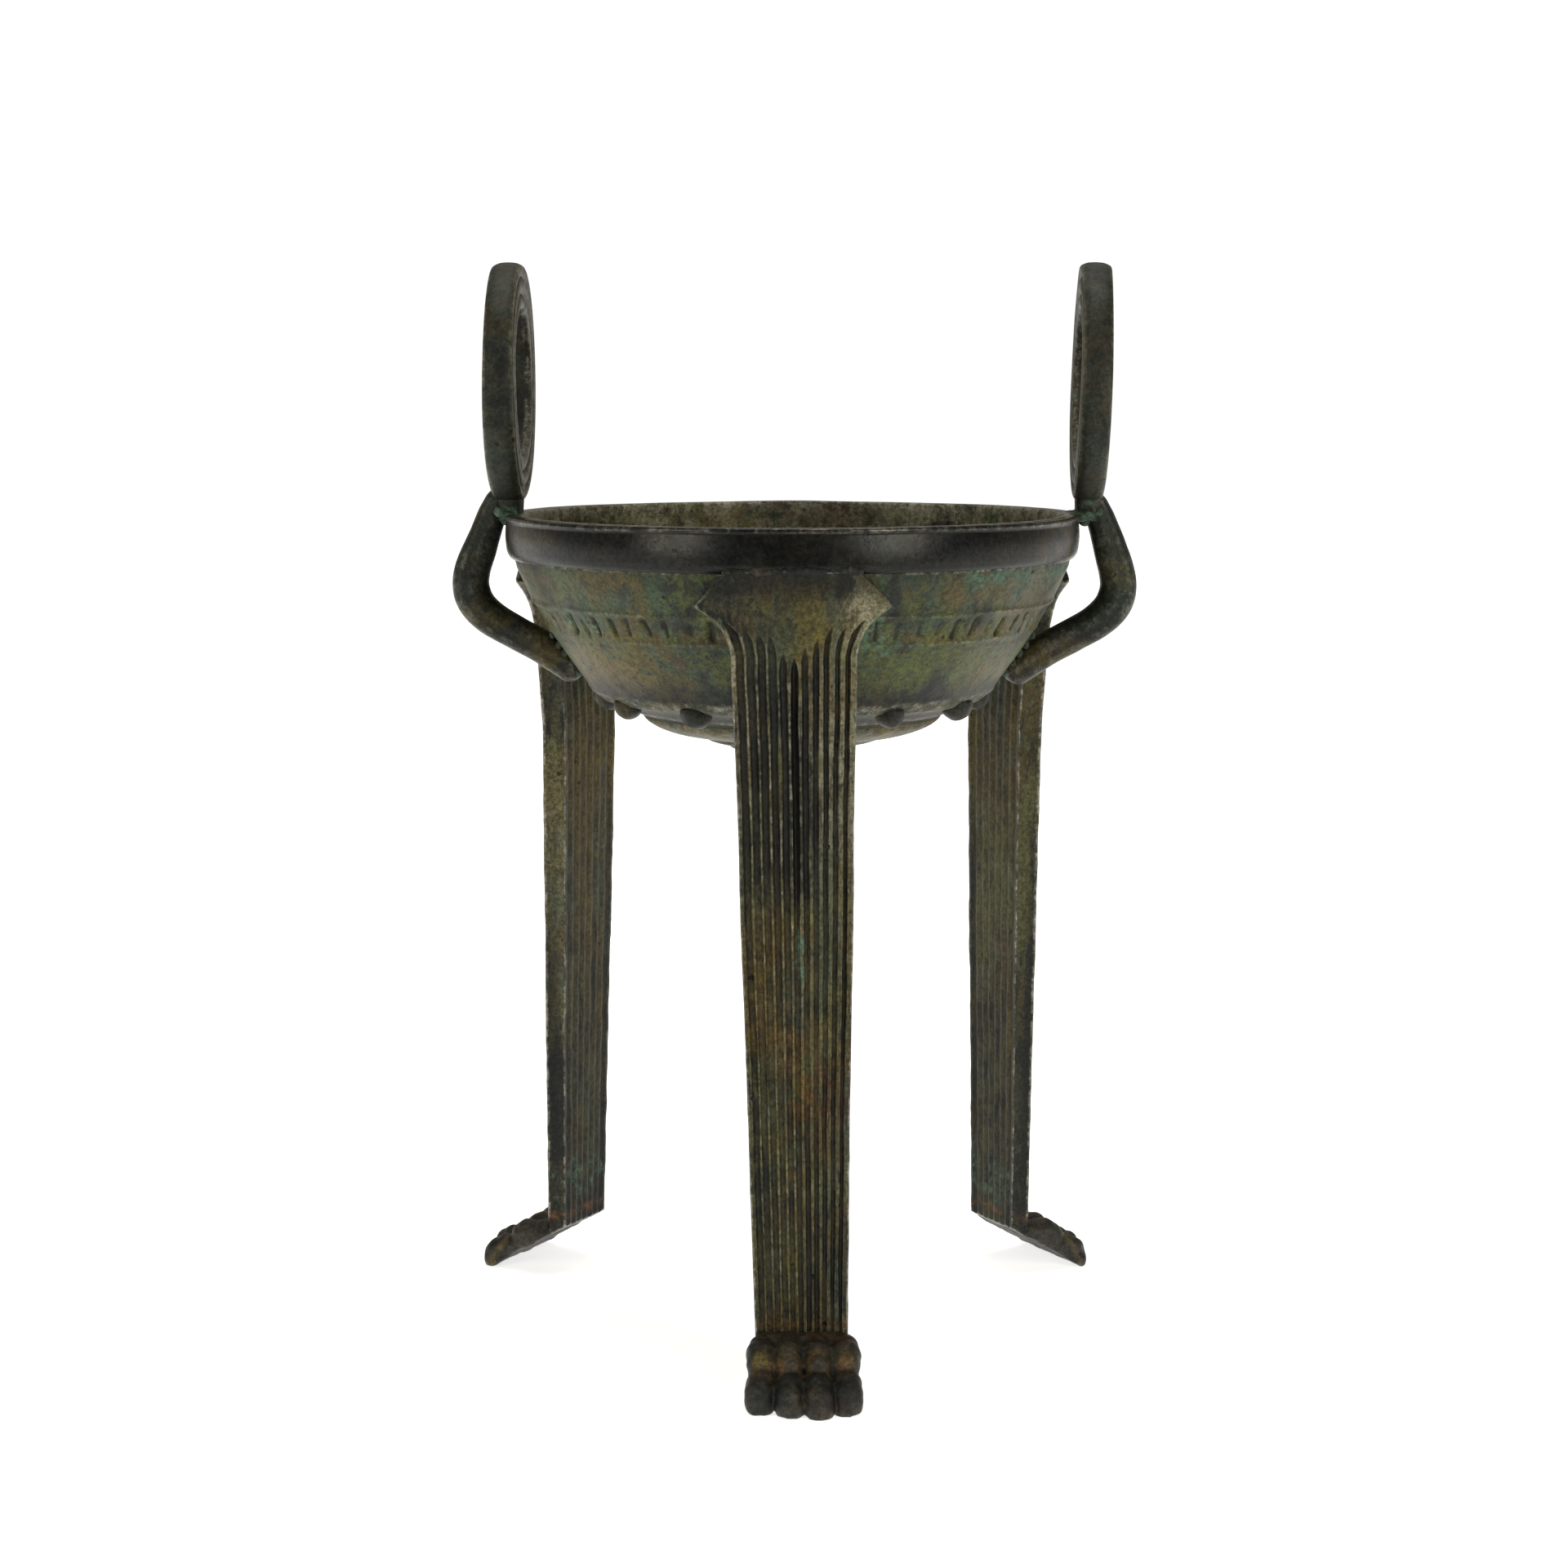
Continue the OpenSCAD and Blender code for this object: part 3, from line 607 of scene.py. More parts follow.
def make_band():
    """The dark band: a slightly rounded face, a bevel below, and a thin lip rubbed paler, partly as a
    painted highlight.
    """
    h, r = BAND_HEIGHT, RIM_RADIUS
    face = [(r - 1.1, -h), (r - 0.8, -h + 0.15), (r - 0.35, -h + 0.9), (r - 0.18, -h + 1.5)]
    face += [(r - 0.18 + 0.22 * math.sin(math.pi * t), -h + 1.5 + (h - 2.6) * t)
             for t in np.linspace(0.05, 1, 18)]
    face += [(r + 0.02, -0.75), (r + 0.08, -0.45), (r - 0.05, -0.15), (r - 0.35, 0.0)]
    face += [(SEAT_RADIUS - 0.2, -0.02), (SEAT_RADIUS - 1.2, -0.06), (SEAT_RADIUS - 1.75, -0.3)]
    face += [(SEAT_RADIUS - 1.85, -1.0), (SEAT_RADIUS - 1.4, -1.6), (SEAT_RADIUS - 0.4, -2.2),
             (SEAT_RADIUS - 0.1, -h)]
    mesh = revolved("rim_band_ring", [(a, RIM_Z + b) for a, b in face], 480)
    tidy_normals(mesh)
    p = mesh_points(mesh)
    p[:, 2] += 0.16 * noise(p * [1, 1, 0], 22, 51)
    set_points(mesh, p)
    roughened(mesh, [(16, 0.10), (4, 0.025)], 52)
    z = RIM_Z - p[:, 2]
    side = smooth(np.abs(p[:, 0]), 34, 52)
    # Painted shade: the band darker where it faces front and back than at its left and right. It is also
    # darker at its lower edge.
    masks = {"gold": 0.45 * side * patches(p, 8, 53, -0.4, 0.5),
             "verd": 0.25 * hump(z, 6.9, 0.8) * patches(p, 6, 54, 0, 0.6)
             + 0.35 * hump(p[:, 0], 8, 5) * hump(z, 6.2, 1.5) * (p[:, 1] < 0),
             "char": 0.4 * (1 - side) + 0.8 * smooth(z, 6.2, 7.0),
             "spared": smooth(z, 4.5, 5.6)}
    return piece("rim_band_ring", mesh, ["rim_band"], band_skin, masks, steps=12)


def make_disc():
    """A shallow stepped disc with a rolled edge under the dome."""
    r, t = DISC_RADIUS, DISC_THICK
    face = [(0.001, 0), (r - 0.6, 0.1), (r, -0.05), (r + 0.02, -0.35), (r - 0.5, -0.75),
            (r - 1.4, -1.05), (r - 3.4, -1.35), (r - 4.4, -1.6), (r - 4.6, -2.0), (r - 5.0, -t),
            (r - 5.8, -t), (r - 6.6, -t + 0.25), (r - 9, -t + 0.35), (0.001, -t + 0.4)]
    fine = []
    for (a, b), (c, d) in zip(face, face[1:]):
        fine += [(a + (c - a) * k / 3, b + (d - b) * k / 3) for k in range(3)]
    fine.append(face[-1])
    mesh = revolved("base_disc_plate", [(a, RIM_Z - DOME_BOTTOM + b) for a, b in fine], 180)
    tidy_normals(mesh)
    roughened(mesh, [(8, 0.07), (2, 0.03)], 61)
    p = mesh_points(mesh)
    masks = {"char": 0.5 * hump(np.hypot(p[:, 0], p[:, 1]), r - 4.5, 1.2)}
    return piece("base_disc_plate", mesh, ["base_disc"], disc_skin, masks)


def make_studs():
    """Domed studs below the turn of the wall, each a little different."""
    bm = bmesh.new()
    for k in range(STUDS):
        a = 2 * math.pi * k / STUDS
        r = 2.85 + 0.15 * float(cell_random(np.int64(k), 1, 1, 71))
        d = TURN_RADIUS - 2.4
        low = RIM_Z - TURN_DEPTH - 1.05
        add_ball(bm, (d * math.sin(a), -d * math.cos(a), low), (r, r, r * 0.97))
    mesh = mesh_from(bm, "boss_studs_domes")
    roughened(mesh, [(2.6, 0.22), (1.1, 0.07)], 72)
    p = mesh_points(mesh)
    inward = TURN_RADIUS - np.hypot(p[:, 0], p[:, 1])
    ledge = RIM_Z - TURN_DEPTH - np.interp(inward, LEDGE_IN, LEDGE_DOWN)
    p[:, 2] = np.minimum(p[:, 2], ledge + 0.3)
    set_points(mesh, p)
    char = 0.72 + 0.25 * patches(p, 5, 74, -0.5, 0.5)
    masks = {"char": char, "gold": 0.3 * patches(p, 8, 73, -0.2, 0.5), "spared": np.full(len(p), 0.7)}
    return piece("boss_studs_domes", mesh, ["boss_studs"], bowl_skin, masks, steps=14)


# ---- legs

# The leg's rows: its foot, where they are level, where they lie closer, and its top, in mm.
LEG_FOOT, LEG_LEVEL, LEG_FINE, LEG_TOP = 9, 14, 126, 146


def leg_out(z):
    """Distance from the axis to the leg's outer face."""
    lean = (HEAD_OUT - LEG_OUT) / (HEAD_TOP - LEAN_FROM)
    return LEG_OUT + lean * np.where(z > LEAN_FROM - 6, np.maximum(z - LEAN_FROM, 0)
                                     + 1.2 * hump(z, LEAN_FROM, 5), 0)


def leg_shift(name, z):
    """How far a leg stands to one side at a height."""
    top, foot = LEGS[name]["lean"]
    return top + (foot - top) * (1 - z / 140)


def blade_half(z):
    """Half the width of the leg's blade, without its head."""
    return np.interp(z, [9, 60, 112, 128, 146], [8.3, 9.4, 10.5, 11.05, 11.2])


def head_half(z):
    """Half the width of the outer face: the blade, its flared neck and its six-sided head."""
    flare = np.interp(z, [131.5, 133.5, 135.4, 136.8, 138.0, 139.0, 139.8, 140.3, 140.8, 146.0],
                      [0.0, 0.45, 1.2, 2.2, 3.5, 4.9, 6.1, 6.2, 5.8, 0.5])
    return blade_half(z) + flare


def flute_field(z):
    """Half the width of the fluted part of the face, which fans out at the top."""
    fan = np.interp(z, [128, 131, 134, 136, 138.6], [0, 0.1, 0.8, 1.9, 4.6])
    return np.minimum(blade_half(z) - 0.55 + fan, head_half(z) - 0.75)


def flute_depth(u, z, seed):
    """Depth of the flutes at a share u of the fluted width, from -1 to 1."""
    t = (u + 1) / 2 * FLUTES
    k = np.clip(np.floor(t), 0, FLUTES - 1)
    off = t - k - 0.5
    side = (k - (FLUTES - 1) / 2) / ((FLUTES - 1) / 2)
    along = xyz(k * 13.0, z, 0)
    end = 131.6 + 7.2 * np.abs(side) ** 0.9 + 1.0 * noise(xyz(k * 9.1, 0, 0), 1, seed)
    opened = smooth(end - z, 0, 3.2)
    flat = np.clip(0.29 + 0.20 * side, 0.17, 0.5) + 0.07 * noise(along, 14, seed + 1)
    wide = 0.5 * (1 - flat) * (0.25 + 0.75 * opened)
    shape = np.clip(1 - (np.abs(off + 0.05 * noise(along, 8, seed + 2)) / wide) ** 2, 0, 1) ** 0.75
    middle = 0.30 * (k == (FLUTES - 1) / 2) * smooth(z, 70, 110)
    deep = 0.62 + middle + 0.10 * noise(along, 10, seed + 3)
    deep = deep * np.interp(z, [10, 30, 60, 110], [0.85, 0.9, 0.95, 1.1])
    return deep * np.sqrt(opened) * shape


def make_leg(name, seed):
    """A leg as one closed tube of rows: fluted face, bevels, sides and ridged back."""
    bend = LEGS[name]["bend"]
    z = np.concatenate([np.linspace(LEG_FOOT, LEG_LEVEL, 12)[:-1],
                        np.linspace(LEG_LEVEL, LEG_FINE, 210)[:-1],
                        np.linspace(LEG_FINE, LEG_TOP, 72)])[:, None]
    field, half, blade = flute_field(z), head_half(z), blade_half(z)
    out = leg_out(z)
    u = np.linspace(-1, 1, FLUTES * 12 + 1)[None, :]
    face_x = u * field
    margin = np.array([0.25, 0.55, 0.8, 0.93])[None, :]
    left = -(field + (half - 0.3 - field) * margin)
    x_face = np.concatenate([left[:, ::-1], face_x, -left], 1)
    p_face = xyz(x_face, z, 0)
    depth = np.concatenate([0 * left, flute_depth(u + 0 * z, z + 0 * u, seed), 0 * left], 1)
    inside = np.abs(x_face) <= field + 0.01
    bumpy = bumps(p_face, [(3.0, 0.07), (1.2, 0.04)], seed + 5)
    crown = 0.004 * x_face**2 * (1 - 0.6 * smooth(z, 125, 135))
    high = smooth(z, 70, 130)
    bent = (bend[1] * np.maximum(x_face - 5.5, 0) ** 2 + bend[0] * np.maximum(-x_face - 5.5, 0) ** 2) * high
    d_face = out - crown - bent - depth * inside + bumpy
    thick = np.interp(z, [9, 112, 135], [3.4, 4.8, 5.2])
    inset = np.interp(z, [9, 112, 135], [1.0, 1.5, 1.7])
    back_half = blade - inset + (half - blade)
    wall = wall_radius(RIM_Z - z)
    in_head = smooth(z, 132.8, 134.4)

    def back_distance(x):
        own = out - thick
        seated = np.sqrt(np.maximum(wall**2 - x**2, 1)) - 0.8
        return own * (1 - in_head) + seated * in_head

    v = np.linspace(1, -1, 65)[None, :]
    x_back = v * back_half
    ridge = 0.16 * np.cos(v * math.pi * 7.5) * smooth(1 - np.abs(v), 0.06, 0.2)
    lip = -0.22 * smooth(np.abs(v), 0.86, 0.93)
    p_back = xyz(x_back, z, 0)
    worn_back = bumps(p_back, [(4, 0.10), (1.5, 0.05)], seed + 8)
    d_back = back_distance(x_back) + (ridge + lip + worn_back) * (1 - in_head)
    s = np.linspace(0.04, 0.97, 12)[None, :]

    def side_points(sign):
        edge_d = d_face[:, -1:] if sign > 0 else d_face[:, :1]
        start_x, start_d = sign * half, edge_d - 0.35
        end_x = sign * back_half
        end_d = back_distance(end_x)
        x = start_x + (end_x - start_x) * s
        d = start_d + (end_d - start_d) * s
        hollow = 0.18 * np.sin(math.pi * s) * (1 - in_head)
        q = xyz(x, z, d)
        return x - sign * (hollow + 0.06 * noise(q, 3, seed + 12)), d

    right_x, right_d = side_points(1)
    left_x, left_d = side_points(-1)
    x = np.concatenate([x_face, right_x, x_back, left_x[:, ::-1]], 1)
    d = np.concatenate([d_face, right_d, d_back, left_d[:, ::-1]], 1)
    zz = np.broadcast_to(z, x.shape)
    sole = np.maximum((SOLE_OUT - d) * SOLE_SLOPE, 0)
    low = np.clip((zz - LEG_FOOT) / (LEG_LEVEL - LEG_FOOT), 0, 1)
    height = np.where(zz < LEG_LEVEL, sole + low * (LEG_LEVEL - sole), zz)
    wave = xyz(0, zz, seed)
    x = x * (1 + 0.012 * noise(wave, 17, seed + 15)) + 0.12 * noise(wave, 24, seed + 16)
    shift = leg_shift(name, height)
    d = d + LEGS[name]["splay"] * (1 - height / LEAN_FROM) * (height < LEAN_FROM)
    points = xyz(x + shift, -d, height)
    rows, cols = x.shape
    flat = points.reshape(-1, 3)
    mesh = new_mesh(name + "_leg_blade", turned(flat, LEGS[name]["turn"]), tube_faces(rows, cols))
    tidy_normals(mesh, join=False)
    h, fx, fd = flat[:, 2], flat[:, 0] - shift.ravel(), -flat[:, 1]

    def per_point(face, back):
        """Values per point of the tube from those on its face and its back."""
        parts = [face + 0 * x_face, 0 * right_x, back + 0 * x_back, 0 * left_x]
        return np.concatenate(parts, 1).ravel()

    on_face, on_back = per_point(1, 0), per_point(0, 1)
    on_side = 1 - on_face - on_back
    q = xyz(fx, fd, h * 0.5)
    mottle = smooth(fractal(q, 9, seed + 20), -0.6, 0.5)

    def spot(z, tall, x, wide):
        return hump(h, z, tall) * hump(fx, x, wide)

    gold = on_face * (0.7 * spot(135.5, 3.2, 3.0, 3.5)
                      + 0.2 * spot(140, 5, 0, 8) * mottle
                      + 0.75 * spot(64, 14, -4.0, 7) * mottle
                      + 0.45 * spot(30, 9, -1.6, 1.2))
    # Painted shade in the flute grooves, a mask that also keeps the painted light out of them.
    painted_groove_shade = smooth(per_point(depth * inside, 0), 0.12, 0.5)
    gold = gold + on_back * (0.8 * hump(h, 104, 14) + 0.5 * hump(h, 46, 18)) * mottle
    # Painted shade: darker on the left of the upper blade, on the left of the head and on all the head but
    # its right part. The head is also darker at its top, and a narrow line down the middle of the lower
    # blade is darker.
    char = on_face * (0.45 * smooth(h, 84, 96) * (1 - smooth(h, 126, 134)) * hump(fx, -4, 9)
                      + 0.75 * smooth(h, 139.5, 144.5) + 0.42 * smooth(-fx, 3, 13) * smooth(h, 134, 139)
                      + 0.42 * smooth(h, 131, 136) * (1 - smooth(fx, 6, 10))
                      + 0.45 * hump(fx, 1.5, 2.5) * (1 - smooth(h, 40, 60)))
    char = char + 0.35 * smooth(np.abs(fx), 8.2, 9.5) * (1 - smooth(h, 100, 130)) * on_face
    side_band = (1 - on_face) * smooth(fd, LEG_OUT - 3, LEG_OUT - 1.5)
    char = char + 0.45 * side_band * (1 - smooth(h, 60, 110))
    # Painted shade: the lower blade darker on its left half.
    char = char + on_face * 0.3 * smooth(-fx, 1, 6) * (1 - smooth(h, 34, 66))
    char = char + (1 - on_face) * 0.45 * (1 - smooth(h, 40, 85)) + 0.15 * on_back
    # Painted shade: the flute grooves darker and the flats between them a little less dark.
    char = char * (1 - 0.25 * on_face * (painted_groove_shade < 0.2)) + 0.5 * painted_groove_shade
    border = smooth(np.abs(fx) - blade_half(h), -3.4, -2.4)
    char = char + 0.4 * on_back * border
    # Painted highlight: a pale line down the left edge of the neck and head, kept free of dark.
    painted_edge_highlight = smooth(-fx - head_half(h), -1.2, -0.5) * smooth(h, 122, 130) * (1 - smooth(h, 141, 143))
    char = char * (1 - 0.8 * on_face * painted_edge_highlight)
    verd = on_face * (0.95 * spot(79, 8, 0.6, 1.1)
                      + 0.5 * spot(46, 4, -1.0, 1.4)
                      + 0.3 * smooth(h, 120, 135) * smooth(np.abs(fx), 9, 11))
    verd = verd + (1 - on_face) * (0.6 * hump(h, 19, 7) + 0.3 * hump(h, 120, 10)) * mottle
    rust = 0.5 * hump(h, 12.0, 0.9) * mottle + 0.3 * hump(h, 55, 22) * mottle * on_face
    # Painted highlights: pale on the right of the head, on both sides of the upper blade and along the edge
    # highlight.
    pale = on_face * (0.9 * smooth(fx, 6, 12) * hump(h, 138.5, 5)
                      + 0.75 * smooth(fx, 1, 4) * hump(h, 112, 16)
                      + 0.7 * smooth(-fx, 4, 8) * hump(h, 116, 18) + 0.8 * painted_edge_highlight)
    # Painted light and shade: the left back leg's sides paler and the right back leg's sides darker; the
    # pale stays out of the flute grooves.
    pale = pale * (1 - painted_groove_shade) + 0.22 * on_side * mottle * (name == "back_left")
    char = char + 0.35 * on_side * (name == "back_right")
    masks = {"gold": gold, "char": char, "verd": verd, "rust": rust, "pale": pale}
    return piece(name + "_leg_blade", mesh, [name + "_leg"], leg_skin, masks,
                 steps=14, reach=0.30, sharp=62)


# ---- paws

TOES = ({"x": -7.3, "tip": 65.3, "wide": 2.65}, {"x": -2.2, "tip": 67.2, "wide": 2.65},
        {"x": 2.9, "tip": 67.4, "wide": 2.65}, {"x": 7.9, "tip": 65.7, "wide": 2.7})


def make_paw(name, seed):
    """Four toes of a knuckle and a tip each, on a wedge with a sloping sole."""
    bm = bmesh.new()
    wedge = [(-49.2, 10.8), (-49.2, 6.0), (-60.0, -2.0), (-63.0, -2.0), (-62.0, 2.6), (-57.0, 7.0),
             (-52.5, 10.6)]
    add_prism(bm, wedge, 7.2)
    for toe in TOES:
        x, tip, wide = toe["x"], toe["tip"], toe["wide"]
        back = 0.8 if abs(x) > 5 else 0.0
        add_ball(bm, (x * 1.02, -(tip - 2.5), 1.6), (wide, 2.5, 3.0))
        add_ball(bm, (x * 1.01, -(tip - 3.2), 3.2), (wide * 0.98, 2.8, 2.7), 0.3)
        add_ball(bm, (x, -(tip - 4.7), 4.3), (wide * 0.96, 2.7, 2.4), 0.4)
        add_ball(bm, (x * 0.97, -(tip - 7.2), 4.6), (wide * 0.9, 2.6, 2.1), 0.4)
        add_ball(bm, (x * 0.98, -(57.6 - back), 6.6), (wide * 0.98, 2.8, 2.8), 0.3)
        add_ball(bm, (x * 0.97, -(56.0 - back), 7.7), (wide * 1.02, 3.0, 2.9), 0.3)
        add_ball(bm, (x * 0.95, -(53.6 - back), 8.0), (wide * 0.98, 3.2, 2.7))
    bmesh.ops.recalc_face_normals(bm, faces=bm.faces)
    mesh = voxel_mesh(mesh_from(bm, name + "_paw_toes"), 0.3, 7)
    slope = math.atan(SOLE_SLOPE)
    cut_away(mesh, (0, -SOLE_OUT, 0), (0, math.sin(slope), -math.cos(slope)))
    cut_away(mesh, (0, 0, 0.0), (0, 0, -1))
    cut_away(mesh, (0, -50.2, 0), (0, 1, 0))
    mesh = voxel_mesh(mesh, 0.28, 4)
    roughened(mesh, [(3.2, 0.30), (1.5, 0.12), (0.8, 0.05)], seed)
    p = mesh_points(mesh)
    p[:, 2] = np.maximum(p[:, 2], 0)
    d, h, x = -p[:, 1], p[:, 2], p[:, 0]
    groove = hump(d - 0.55 * (6 - h), 60.2, 0.65)
    stain = patches(p, 3.5, seed + 3, -0.5, 0.4)
    masks = {
        "rust": 0.4 * groove * stain + 0.5 * hump(h, 11.2, 0.7) * stain
        + 0.12 * patches(p, 6, seed + 4, 0, 0.7),
        "gold": 0.7 * groove * (1 - 0.5 * stain),
        "verd": 0.25 * groove * patches(p, 4, seed + 5, 0, 0.6),
        "char": 0.30 + 0.2 * smooth(d, 60, 64) - 0.3 * groove,
    }
    p[:, 0] = x + leg_shift(name, h)
    p[:, 1] -= LEGS[name]["splay"] * (1 - h / LEAN_FROM)
    set_points(mesh, turned(p, LEGS[name]["turn"]))
    mesh.name = name + "_paw_toes"
    return piece(name + "_paw_toes", mesh, [name + "_paw"], paw_skin, masks,
                 steps=16, reach=0.30)


# ---- rings

RINGS = {"left": {"at": -53.0, "lean": 0.2, "twist": 1.0},
         "right": {"at": 55.4, "lean": 1.3, "twist": 2.6}}


def ring_bead(u):
    """Height of the three beads at a share u of the ring's width, from 0 to 1."""
    return np.abs(np.sin(3 * math.pi * (0.03 + 0.90 * u)))


def ring_section():
    """Closed section of a ring as (radius, offset) points: flat edges and three beads a face."""
    wide = RING_RADIUS - RING_HOLE
    side = []
    for u in np.linspace(0, 1, 46):
        bead = float(ring_bead(u))
        crown = (1 - (2 * u - 1) ** 2) * 0.20
        round_off = 1.0 * (1 - min(1, (1 - u) / 0.09)) ** 2 + 0.5 * (1 - min(1, u / 0.06)) ** 2
        side.append((RING_HOLE + wide * u, RING_EDGE / 2 - 0.3 + crown + 0.62 * bead**0.7 - round_off))
    rim = [(RING_RADIUS + 0.02 + 0.10 * math.sin(math.pi * t), (1 - 2 * t) * (RING_EDGE / 2 - 0.9))
           for t in np.linspace(0.06, 0.94, 9)]
    hole = [(RING_HOLE - 0.05, (2 * t - 1) * (RING_EDGE / 2 - 0.75)) for t in np.linspace(0.05, 0.95, 9)]
    return side + rim + [(r, -w) for r, w in side[::-1]] + hole


def place_ring(p, spec):
    """From a ring's own frame, where x is across it and z is up from its lowest point."""
    lean, twist = math.radians(spec["lean"]), math.radians(spec["twist"])
    x = p[:, 0] * math.cos(lean) + p[:, 2] * math.sin(lean)
    z = -p[:, 0] * math.sin(lean) + p[:, 2] * math.cos(lean)
    y = p[:, 1]
    rx = x * math.cos(twist) + y * math.sin(twist)
    ry = -x * math.sin(twist) + y * math.cos(twist)
    return xyz(rx + spec["at"], ry, z + RIM_Z)


def make_ring(side, seed):
    spec = RINGS[side]
    section = np.array(ring_section())
    steps = 300
    a = np.linspace(0, 2 * math.pi, steps, endpoint=False)
    r, w = section[:, 0][:, None], section[:, 1][:, None]
    points = xyz(w, r * np.sin(a), RING_UP - r * np.cos(a)).reshape(-1, 3)
    wobble = 0.16 * noise(points * [0, 1, 1], 13, seed) + 0.05 * noise(points, 3, seed + 1)
    points[:, 0] *= 1 + 0.05 * noise(points * [0, 1, 1], 16, seed + 2)
    centre = np.array([0, 0, RING_UP])
    away = (points - centre) * [0, 1, 1]
    points += away / np.linalg.norm(away, axis=1)[:, None] * wobble[:, None]
    faces = loop_faces(len(section), steps)
    foot, foot_faces = ring_foot(len(points), seed)
    mesh = new_mesh(side + "_ring_moulding", np.concatenate([points, foot]), faces + foot_faces)
    tidy_normals(mesh)
    p = mesh_points(mesh)
    h = p[:, 2]
    reach = np.hypot(p[:, 1], h - RING_UP)
    from_hole = (reach - RING_HOLE) / (RING_RADIUS - RING_HOLE)
    bead = ring_bead(np.clip(from_hole, 0, 1))
    on_side = smooth(from_hole, 0.01, 0.05) * (1 - smooth(from_hole, 0.93, 0.98))
    # Painted shade in the hole and between the beads, and painted highlights on the beads, brighter on the
    # left ring. The outer edge is darker too.
    masks = {
        "verd": 0.7 * hump(h, 0.5, 4) * patches(p, 5, seed + 4, -0.6, 0.3),
        "gold": 0.35 * patches(p, 10, seed + 5, 0, 0.6) * (reach < 18),
        "char": 0.42 * smooth(from_hole, 0.95, 0.98) + 0.6 * (1 - smooth(from_hole, 0.0, 0.03))
        + 0.6 * on_side * (1 - smooth(bead, 0.2, 0.6)),
        "pale": (0.75 if side == "left" else 0.5) * on_side * smooth(bead, 0.5, 0.9),
        "spared": 0.8 * smooth(reach, RING_RADIUS - 1.2, RING_RADIUS - 0.5),
    }
    set_points(mesh, place_ring(p, spec))
    return piece(side + "_ring_moulding", mesh, [side + "_ring"], ring_skin, masks,
                 steps=10, reach=0.13, sharp=50)


def ring_foot(start, seed):
    """The neck under a ring, waisted where it meets the rim, as points and faces."""
    levels = np.linspace(-1.2, 6.5, 16)
    a = np.linspace(0, 2 * math.pi, 48, endpoint=False)
    rows = []
    for z in levels:
        long = 4.4 + 0.10 * max(z, 0) ** 1.7
        wide = 2.25 + 0.06 * max(z - 1, 0)
        x = np.sign(np.cos(a)) * np.abs(np.cos(a)) ** 0.5 * wide
        y = np.sign(np.sin(a)) * np.abs(np.sin(a)) ** 0.6 * long
        rows.append(xyz(x, y, z))
    points = np.concatenate(rows)
    points += 0.10 * noise(points, 3, seed + 9)[:, None] * [1, 1, 0]
    return points, tube_faces(len(levels), len(a), start)


# ---- struts

STRUT_LINE = {
    "left": [(55.0, 157.4), (56.8, 152.6), (58.8, 147.4), (60.3, 143.0), (60.6, 139.4), (59.4, 136.3),
             (56.6, 133.6), (52.4, 131.1), (47.7, 128.6), (43.5, 125.8), (39.7, 123.1)],
    "right": [(56.6, 156.6), (58.1, 152.4), (59.8, 147.4), (61.1, 143.0), (61.5, 139.3), (60.4, 136.0),
              (57.4, 133.1), (52.9, 130.5), (48.2, 127.9), (44.0, 125.1), (40.3, 122.5)],
}


def spline(points, count):
    """Even points on a smooth curve through the given points."""
    p = np.asarray(points, float)
    p = np.concatenate([[2 * p[0] - p[1]], p, [2 * p[-1] - p[-2]]])
    fine = []
    for k in range(1, len(p) - 2):
        t = np.linspace(0, 1, 24, endpoint=False)[:, None]
        a, b, c, d = p[k - 1], p[k], p[k + 1], p[k + 2]
        fine.append(0.5 * (2 * b + (c - a) * t + (2 * a - 5 * b + 4 * c - d) * t**2
                           + (3 * b - a - 3 * c + d) * t**3))
    fine = np.concatenate(fine + [p[-2][None]])
    run = np.concatenate([[0], np.cumsum(np.linalg.norm(np.diff(fine, axis=0), axis=1))])
    at = np.linspace(0, run[-1], count)
    return np.stack([np.interp(at, run, fine[:, k]) for k in range(fine.shape[1])], -1), at


